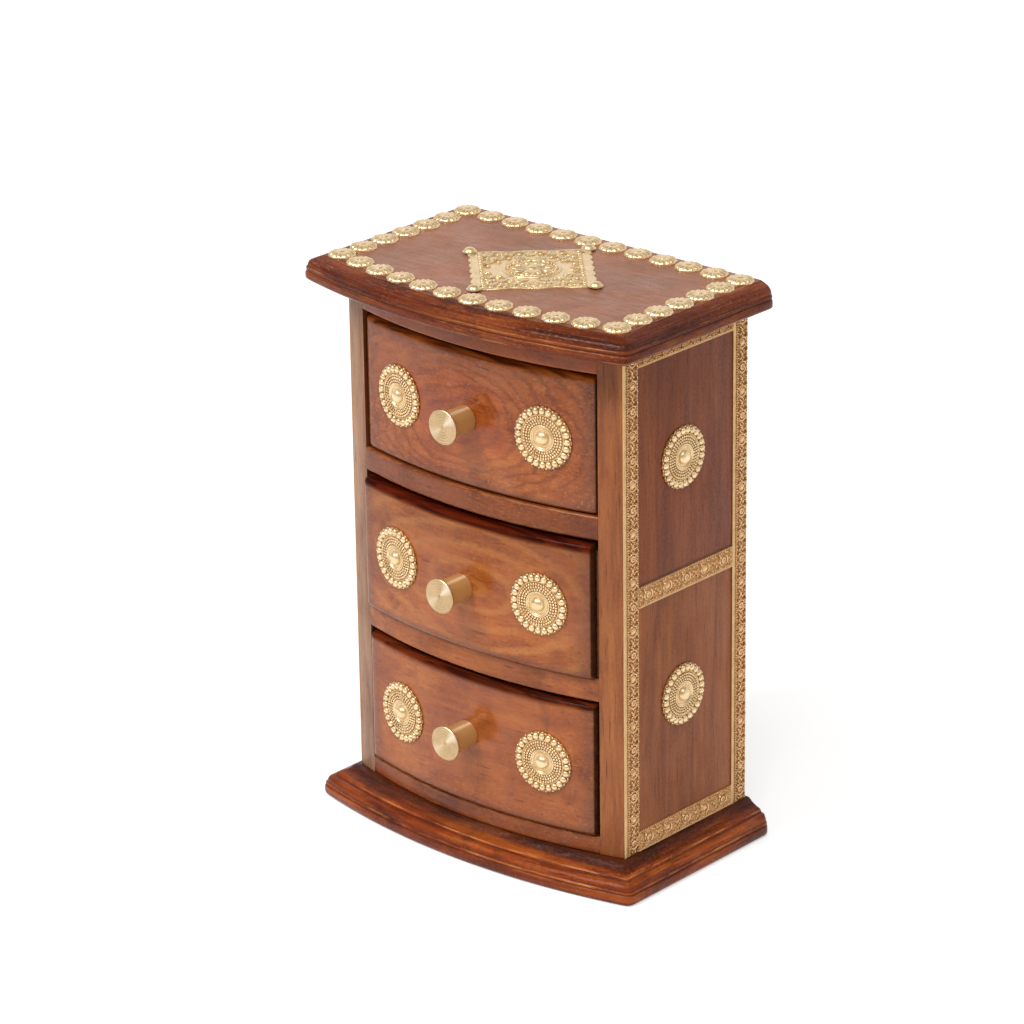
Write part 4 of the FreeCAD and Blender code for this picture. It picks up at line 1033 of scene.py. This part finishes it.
def stripTree(look):
    sizes = {"Length": 0.0, "Spread": 0.0, **look["both"], **look["upright"]}
    tree = TrimTree("stripOrnament", [*labelled(sizes), ("Flower", "Object"), ("Bud", "Object"),
                                      ("Scroll", "Object")])
    given, lift = tree.given, 0.3 * mm
    beads = tree.math("FLOOR", tree.math("DIVIDE", given["Length"], given["Bead Pitch"]))
    beadPitch = tree.math("DIVIDE", given["Length"], beads)
    start = tree.times(beadPitch, 0.5)
    inner = tree.bead(given["Bead Size"], 1.1, 1, 1.1, 6, 4)
    outer = tree.bead(given["Edge Bead Size"], 1, 1, 1, 6, 4)
    tree.row(inner, beads, start, beadPitch, given["Bead Line"], 0.36 * mm)
    tree.row(outer, beads, start, beadPitch, given["Edge Line"], lift)
    places = tree.math("ROUND", tree.math("DIVIDE", given["Length"], given["Pitch"]))
    step = tree.math("DIVIDE", given["Length"], places)
    buds = tree.math("FLOOR", tree.times(places, 0.5))
    flowers = tree.math("SUBTRACT", places, buds)
    for label, share, size, count in (("Flower", 0.5, 0.62, flowers), ("Bud", 1.5, 0.78, buds)):
        first, pitch = tree.times(step, share), tree.times(step, 2)
        tree.row(tree.shape(label), count, first, pitch, given["Middle"], lift, scale=(size, size, 1.2))
    shapes = {"Leaf": tree.bead(given["Edge Bead Size"], 2.4, 1.25, 1.3, 6, 4),
              "Dot": tree.bead(given["Bead Size"], 1.4, 1.4, 1.5, 6, 4), "Scroll": tree.shape("Scroll")}
    first = tree.times(step, 0.5)
    for spin in (0, math.pi):
        tree.row(shapes["Scroll"], places, first, step, given["Middle"], lift, spin, (0.95, 1, 1))
    mirrored = [(way * along, side * across, label, side * spins[way < 0], size)
                for along, across, label, spins, size in stripCorner for side in (1, -1) for way in (1, -1)]
    for along, across, label, spin, size in stripMotif + mirrored:
        start = tree.plus(0 if along > 0 else step, along * mm)
        middle = tree.plus(given["Middle"], tree.times(given["Spread"], across * mm))
        count = places if along else tree.math("SUBTRACT", places, 1)
        tree.row(shapes[label], count, start, step, middle, lift, spin, (size, size, 1))
    return tree.close()


def stripPlate(name, length, band):  # a pressed section drawn across the strip, low to high
    section = [(0, 0), (0, 0.36), (0.12, 0.45), (band - 0.12, 0.45), (band, 0.36), (band + 0.1, 0.3),
               (6.9, 0.3), (7.0, 0.22), (7.55, 0.22), (7.6, 0.12), (7.6, 0)]
    size = len(section)
    stations = spread(0, length, max(1, round(length / (4 * mm))))
    points = [(u, v * mm, w * mm) for u in stations for v, w in section]
    return makeMesh(name, points, sleeveFaces(size, len(stations)) + capFaces(size, len(points)))


def makeStrip(name, lie, look):
    low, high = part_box(name)
    sign = 1 if low.x > 0 else -1
    length, along, across = high.z - low.z, (0, 0, 1), (0, 1, 0)
    if lie == "level":
        length, along, across = high.y - low.y, across, along
    values = {**sized({**look["both"], **look[lie]}), "Spread": look["spread"][lie], "Length": length,
              "Flower": flower, "Bud": bud, "Scroll": scroll}
    shape = trimmed(stripPlate(name + "_shape", length, look["band"][lie]), stripOrnament, values)
    turn = Matrix((along, across, (sign, 0, 0))).transposed().to_4x4()
    strip = placedCopies(name + "_brass", shape, [Matrix.Translation((sign * caseHalf, low.y, low.z)) @ turn])
    dropShape(shape)
    return strip


flower = turnedMesh("flower_shape", flowerRows, 14, 7)
bud = turnedMesh("bud_shape", budRows, 10)
scroll = scrollMesh("scroll_shape", scrollLook)
stripOrnament = stripTree(stripLook)
for side in ("left", "right"):
    for part, lie in (("front", "upright"), ("back", "upright"), ("top", "level"), ("middle", "level"),
                      ("bottom", "level")):
        name = side + "_" + part + "_strip"
        finishPiece(makeStrip(name, lie, stripLook), metals["stripBrass"], "case", [name], 45)
print("strips made")

# flower discs along the top's edges

discLook = {
    "rows": [(4.9, 0, 0.32, 0), (4.9, 0.25, 0.34, 0), (4.75, 0.55, 0.4, 0.1), (4.4, 0.98, 0.38, 0.3),
             (3.9, 1.28, 0.28, 0.36), (3.3, 1.44, 0.14, 0.32), (2.7, 1.5, 0, 0.2), (2.0, 1.48, 0, 0.1),
             (1.5, 1.34, 0, 0), (1.2, 1.32, 0, 0), (1.0, 1.52, 0, 0), (0.55, 1.6, 0, 0)],
    "lobes": 12, "speckle": 0.1, "acrossLast": 61.45, "backDepth": 28.5, "frontCorner": -35.2,
    "frontApex": -43.3, "Long Row Discs": 12, "Side Row Discs": 5, "Turn Seed": 7,
}


def discTree():
    tree = TrimTree("discRows", [("Discs", "Int"), ("Turn Seed", "Int"), ("Disc", "Object")])
    curve = tree.node("MeshToCurve", {"Mesh": tree.parts.pop()}).outputs[0]
    even = tree.node("ResampleCurve", {"Curve": curve, "Count": tree.given["Discs"]}).outputs[0]
    turn = tree.node("FunctionNodeRandomValue", {2: 0.0, 3: 6.28, "Seed": tree.given["Turn Seed"]}).outputs[1]
    tree.parts.append(tree.scatter(even, tree.shape("Disc"), tree.vector(z=turn)))
    return tree.close()


def pathMesh(name, paths):
    points, edges = [], []
    for path in paths:
        edges += [(len(points) + i, len(points) + i + 1) for i in range(len(path) - 1)]
        points += path
    mesh = bpy.data.meshes.new(name)
    mesh.from_pydata(points, edges, [])
    return placed(name, mesh)


def joinPieces(name, pieces):
    work = bmesh.new()
    for piece in pieces:
        work.from_mesh(piece.data)
    dropShape(*pieces)
    return pieceFrom(work, name)


def makeDiscs(look):
    last, back = look["acrossLast"] * mm, look["backDepth"] * mm
    corner, apex = look["frontCorner"] * mm, look["frontApex"] * mm
    disc = turnedMesh("disc_shape", look["rows"], 48, look["lobes"], look["speckle"])
    front = bowRun(last, apex, bowRadius(last, corner - apex), 120)
    step = (back - corner) / (look["Side Row Discs"] + 1)
    edges = {"Long Row Discs": [front, [(-last, back), (last, back)]],
             "Side Row Discs": [[(x, corner + step), (x, back - step)] for x in (-last, last)]}
    group, rows = discTree(), []
    for label, pair in edges.items():
        path = pathMesh(label, [[(x, y, topFlat) for x, y in edge] for edge in pair])
        values = {"Discs": look[label], "Turn Seed": look["Turn Seed"], "Disc": disc}
        rows.append(trimmed(path, group, values))
    dropShape(disc)
    return joinPieces("top_flower_discs_brass", rows)


finishPiece(makeDiscs(discLook), metals["discBrass"], "case", ["top_flower_discs"], 45)
print("flower discs made")

# plaque and its studs

plaqueLook = {
    "centre": (0, -7.0), "turn": 44.0, "halfLong": 21.2, "halfWide": 20.5, "scallops": 7, "scallopDepth": 0.9,
    "waves": 3, "waveDepth": 1.2, "thick": 0.6, "studReach": 28.71, "studBearing": 45.0, "gridLong": 14.6,
    "gridWide": 15.6, "columns": 9, "rows": 9, "clear": 12.0, "frameLong": 17.0, "frameWide": 18.1,
    "framePitch": 2.5, "shares": {"Flower Share": 0.9, "Scroll Share": 0.98},
    "ornament": {"Ring Pearls": 32, "Petals": 10, "Pearl Ring": 8.35, "Pearl Size": 0.5, "Petal Ring": 5.6,
                 "Petal Size": 1.15, "Frame Bead Size": 0.95},
}
medallionRows = [
    (10.1, 0, 0, 0), (10.05, 0.3, 0, 0), (9.8, 0.6, 0, 0), (9.4, 0.7, 0, 0), (9.0, 0.5, 0, 0),
    (8.8, 0.2, 0, 0),
    (7.5, 0.2, 0, 0), (7.3, 0.5, 0, 0), (7.0, 0.6, 0, 0), (6.7, 0.45, 0, 0), (5.6, 0.45, 0, 0.0),
    (4.9, 0.6, 0, 0.3),
    (3.6, 0.85, 0, 0.4), (2.2, 0.75, 0, 0.2), (1.7, 0.6, 0, 0), (1.4, 0.95, 0, 0), (0.8, 1.2, 0, 0),
]
studRows = [(0.6, -5.0, 0, 0), (0.6, -0.02, 0, 0), (2.6, 0, 0, 0), (2.58, 0.22, 0, 0), (2.2, 0.38, 0, 0),
            (2.0, 0.75, 0, 0), (1.6, 1.2, 0, 0), (1.0, 1.48, 0, 0), (0.4, 1.59, 0, 0)]


def plaqueTree(look):
    shapes = ("Flower Points", "Scroll Points", "Frame Points", "Scroll", "Flower", "Bud", "Medallion")
    tree = TrimTree("plaqueOrnament", [*labelled({**look["ornament"], **look["shares"]}),
                                       *[(label, "Object") for label in shapes]])
    given = tree.given
    for label in ("Flower", "Scroll"):
        size = tree.vector(given[label + " Share"], given[label + " Share"], 1.15)
        points = tree.shape(label + " Points")
        tree.parts.append(tree.scatter(points, tree.shape(label), tree.outwards(), size))
    frameBead = tree.bead(given["Frame Bead Size"], 1, 1, 0.6, 10, 7)
    tree.parts += [tree.scatter(tree.shape("Scroll Points"), tree.shape("Bud"), scale=(0.6, 0.6, 1.2)),
                   tree.scatter(tree.shape("Frame Points"), frameBead), tree.shape("Medallion")]
    pearl = tree.bead(given["Pearl Size"], 1.1, 1, 0.95)
    petal = tree.bead(given["Petal Size"], 1.5, 1.05, 0.6, 12, 8)
    tree.ring(pearl, given["Ring Pearls"], given["Pearl Ring"], 0.72 * mm)
    tree.ring(petal, given["Petals"], given["Petal Ring"], 0.95 * mm)
    return tree.close()


def plaqueOutline(look):
    long, wide, outline = look["halfLong"], look["halfWide"], []
    corners = [Vector(corner) for corner in ((-long, -wide), (long, -wide), (long, wide), (-long, wide))]
    edges = 2 * [(look["waves"], look["waveDepth"]), (look["scallops"], look["scallopDepth"])]
    for k, (count, depth) in enumerate(edges):
        along = corners[(k + 1) % 4] - corners[k]
        inward = Vector((-along.y, along.x)).normalized()
        for t in spread(0, 1, count * 8)[:-1]:
            outline.append(corners[k] + along * t + inward * depth * (1 - abs(math.sin(math.pi * count * t))))
    return outline


def plaquePlate(look):
    thick, outline = look["thick"], plaqueOutline(look)
    rows = [(0, 0), (0, thick - 0.3), (0.2, thick - 0.05), (0.6, thick + 0.12), (1.1, thick + 0.1),
            (1.6, thick - 0.1), (1.9, thick - 0.2), (3, thick - 0.2)]
    points = [(*(spot * (1 - inset / 20) * mm), height * mm) for inset, height in rows for spot in outline]
    points += [(0, 0, 0), (0, 0, rows[-1][1] * mm)]
    size = len(outline)
    return makeMesh("plaque_shape", points, sleeveFaces(size, len(rows)) + fanFaces(size, len(rows)))


def plaquePoints(look):  # where flowers and scrolls take turns on a grid, and the beads round it
    taken = {"Flower Points": [], "Scroll Points": [], "Frame Points": []}
    for i, x in enumerate(spread(-look["gridLong"], look["gridLong"], look["columns"] - 1)):
        for j, y in enumerate(spread(-look["gridWide"], look["gridWide"], look["rows"] - 1)):
            if math.hypot(x, y) > look["clear"]:
                taken["Scroll Points" if (i + j) % 2 else "Flower Points"].append((x, y))
    long, wide, pitch = look["frameLong"], look["frameWide"], look["framePitch"]
    across = spread(-long, long, round(2 * long / pitch))
    upward = spread(-wide, wide, round(2 * wide / pitch))
    taken["Frame Points"] += [(x, y) for y in (-wide, wide) for x in across]
    taken["Frame Points"] += [(x, y) for x in (-long, long) for y in upward[1:-1]]
    deck = (look["thick"] - 0.2) * mm
    return {label: pathMesh(label, [[(x * mm, y * mm, deck)] for x, y in spots])
            for label, spots in taken.items()}


def makePlaque(look):
    medallion = turnedMesh("medallion_shape", medallionRows, 96, 12)
    medallion.data.transform(Matrix.Translation((0, 0, look["thick"] * mm * 0.5)))
    points = plaquePoints(look)
    shape = trimmed(plaquePlate(look), plaqueTree(look), {
        **sized(look["ornament"]), **look["shares"], **points, "Scroll": scroll, "Flower": flower, "Bud": bud,
        "Medallion": medallion})
    across, depth = look["centre"]
    turn = Matrix.Rotation(math.radians(look["turn"]), 4, "Z")
    place = Matrix.Translation((across * mm, depth * mm, topFlat)) @ turn
    plaque = placedCopies("top_plaque_brass", shape, [place])
    dropShape(shape, medallion, *points.values())
    return plaque


def makeStuds(look):
    stud = turnedMesh("stud_shape", studRows, 32)
    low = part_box("plaque_studs")[1].z - studRows[-1][1] * mm
    places = []
    for k in range(4):
        bearing = math.radians(look["turn"] + look["studBearing"] + 90 * k)
        spot = Vector(look["centre"]) + Vector((math.cos(bearing), math.sin(bearing))) * look["studReach"]
        places.append(Matrix.Translation((spot.x * mm, spot.y * mm, low)))
    studs = placedCopies("plaque_studs_brass", stud, places)
    dropShape(stud)
    return studs


finishPiece(makePlaque(plaqueLook), metals["plaqueBrass"], "case", ["top_plaque"], 45)
finishPiece(makeStuds(plaqueLook), metals["plaqueBrass"], "case", ["plaque_studs"], 45)
dropShape(flower, bud, scroll)
print("plaque made")

# the nodes that stay as they were built

stays = {"back_panel": backWood, "back_panel_nails": metals["nailIron"], "plinth_nails": metals["nailIron"]}
for drawer in drawers:
    stays[drawer + "_knob_screw"] = metals["screwSteel"]
    stays.update({drawer + ending: boxWood for ending in ("_back", "_bottom")})
    stays.update({drawer + ending: boxSideWood for ending in ("_left_side", "_right_side")})
for name, material in stays.items():
    bpy.data.objects[name].data.materials.clear()
    bpy.data.objects[name].data.materials.append(material)

# floor, backdrop and light

lightLook = {
    "world": 0.55, "backdropTop": (0.5, 0.75), "darkSide": 0.26, "floorGlow": 0.45,
    "key": {"azimuth": -20, "elevation": 50, "distance": 2.2, "size": (0.7, 0.7), "power": 28},
    "top": {"azimuth": 45, "elevation": 62, "distance": 1.8, "size": (0.6, 0.6), "power": 9},
}


def makeWorld(look):  # a white backdrop, dark where it would show in the brass from ahead and above
    world = bpy.data.worlds.new("studio")
    scene.world = world
    world.use_nodes = True
    bench = NodeBench(world.node_tree)
    way = bench.axes(bench.node("TexCoord").outputs["Generated"])
    ahead = bench.times(bench.step(way[1], 0.15, -0.15), bench.step(way[2], -0.02, 0.10))
    above = bench.step(way[2], *look["backdropTop"])
    mirrored = bench.step(bench.math("MAXIMUM", ahead, above), 0, 1, (1, look["darkSide"]))
    path = bench.node("LightPath").outputs
    level = bench.step(path["Is Glossy Ray"], 0, 1, (look["world"], mirrored))
    clear = bench.math("MAXIMUM", path["Is Camera Ray"], path["Is Transmission Ray"])
    backdrop = bench.tree.nodes["Background"].inputs
    bench.give(backdrop["Strength"], bench.step(clear, 0, 1, (level, 1)))
    bench.give(backdrop["Color"], (1, 1, 1))


def makeFloor(look):
    floor = makeMesh("floor", [(-3, -3, 0), (3, -3, 0), (3, 3, 0), (-3, 3, 0)], [(0, 1, 2, 3)])
    pale = Recipe("paleFloor")
    path = pale.node("LightPath").outputs
    seen = pale.math("MAXIMUM", path["Is Camera Ray"], path["Is Glossy Ray"])
    glow = pale.times(pale.math("MAXIMUM", seen, path["Is Transmission Ray"]), look["floorGlow"])
    floor.data.materials.append(pale.finish(Base_Color=(0.8, 0.8, 0.8), Roughness=0.9,
                                            Emission_Color=(1, 1, 1), Emission_Strength=glow))


def makeSoftbox(name, look):
    data = bpy.data.lights.new(name, "AREA")
    data.shape = "RECTANGLE"
    data.size, data.size_y = look["size"]
    data.energy = look["power"]
    placed(name, data).matrix_world = aimed((0, 0, 0.1), look)


makeWorld(lightLook)
makeFloor(lightLook)
for name in ("key", "top"):
    makeSoftbox(name, lightLook[name])
print("studio made")
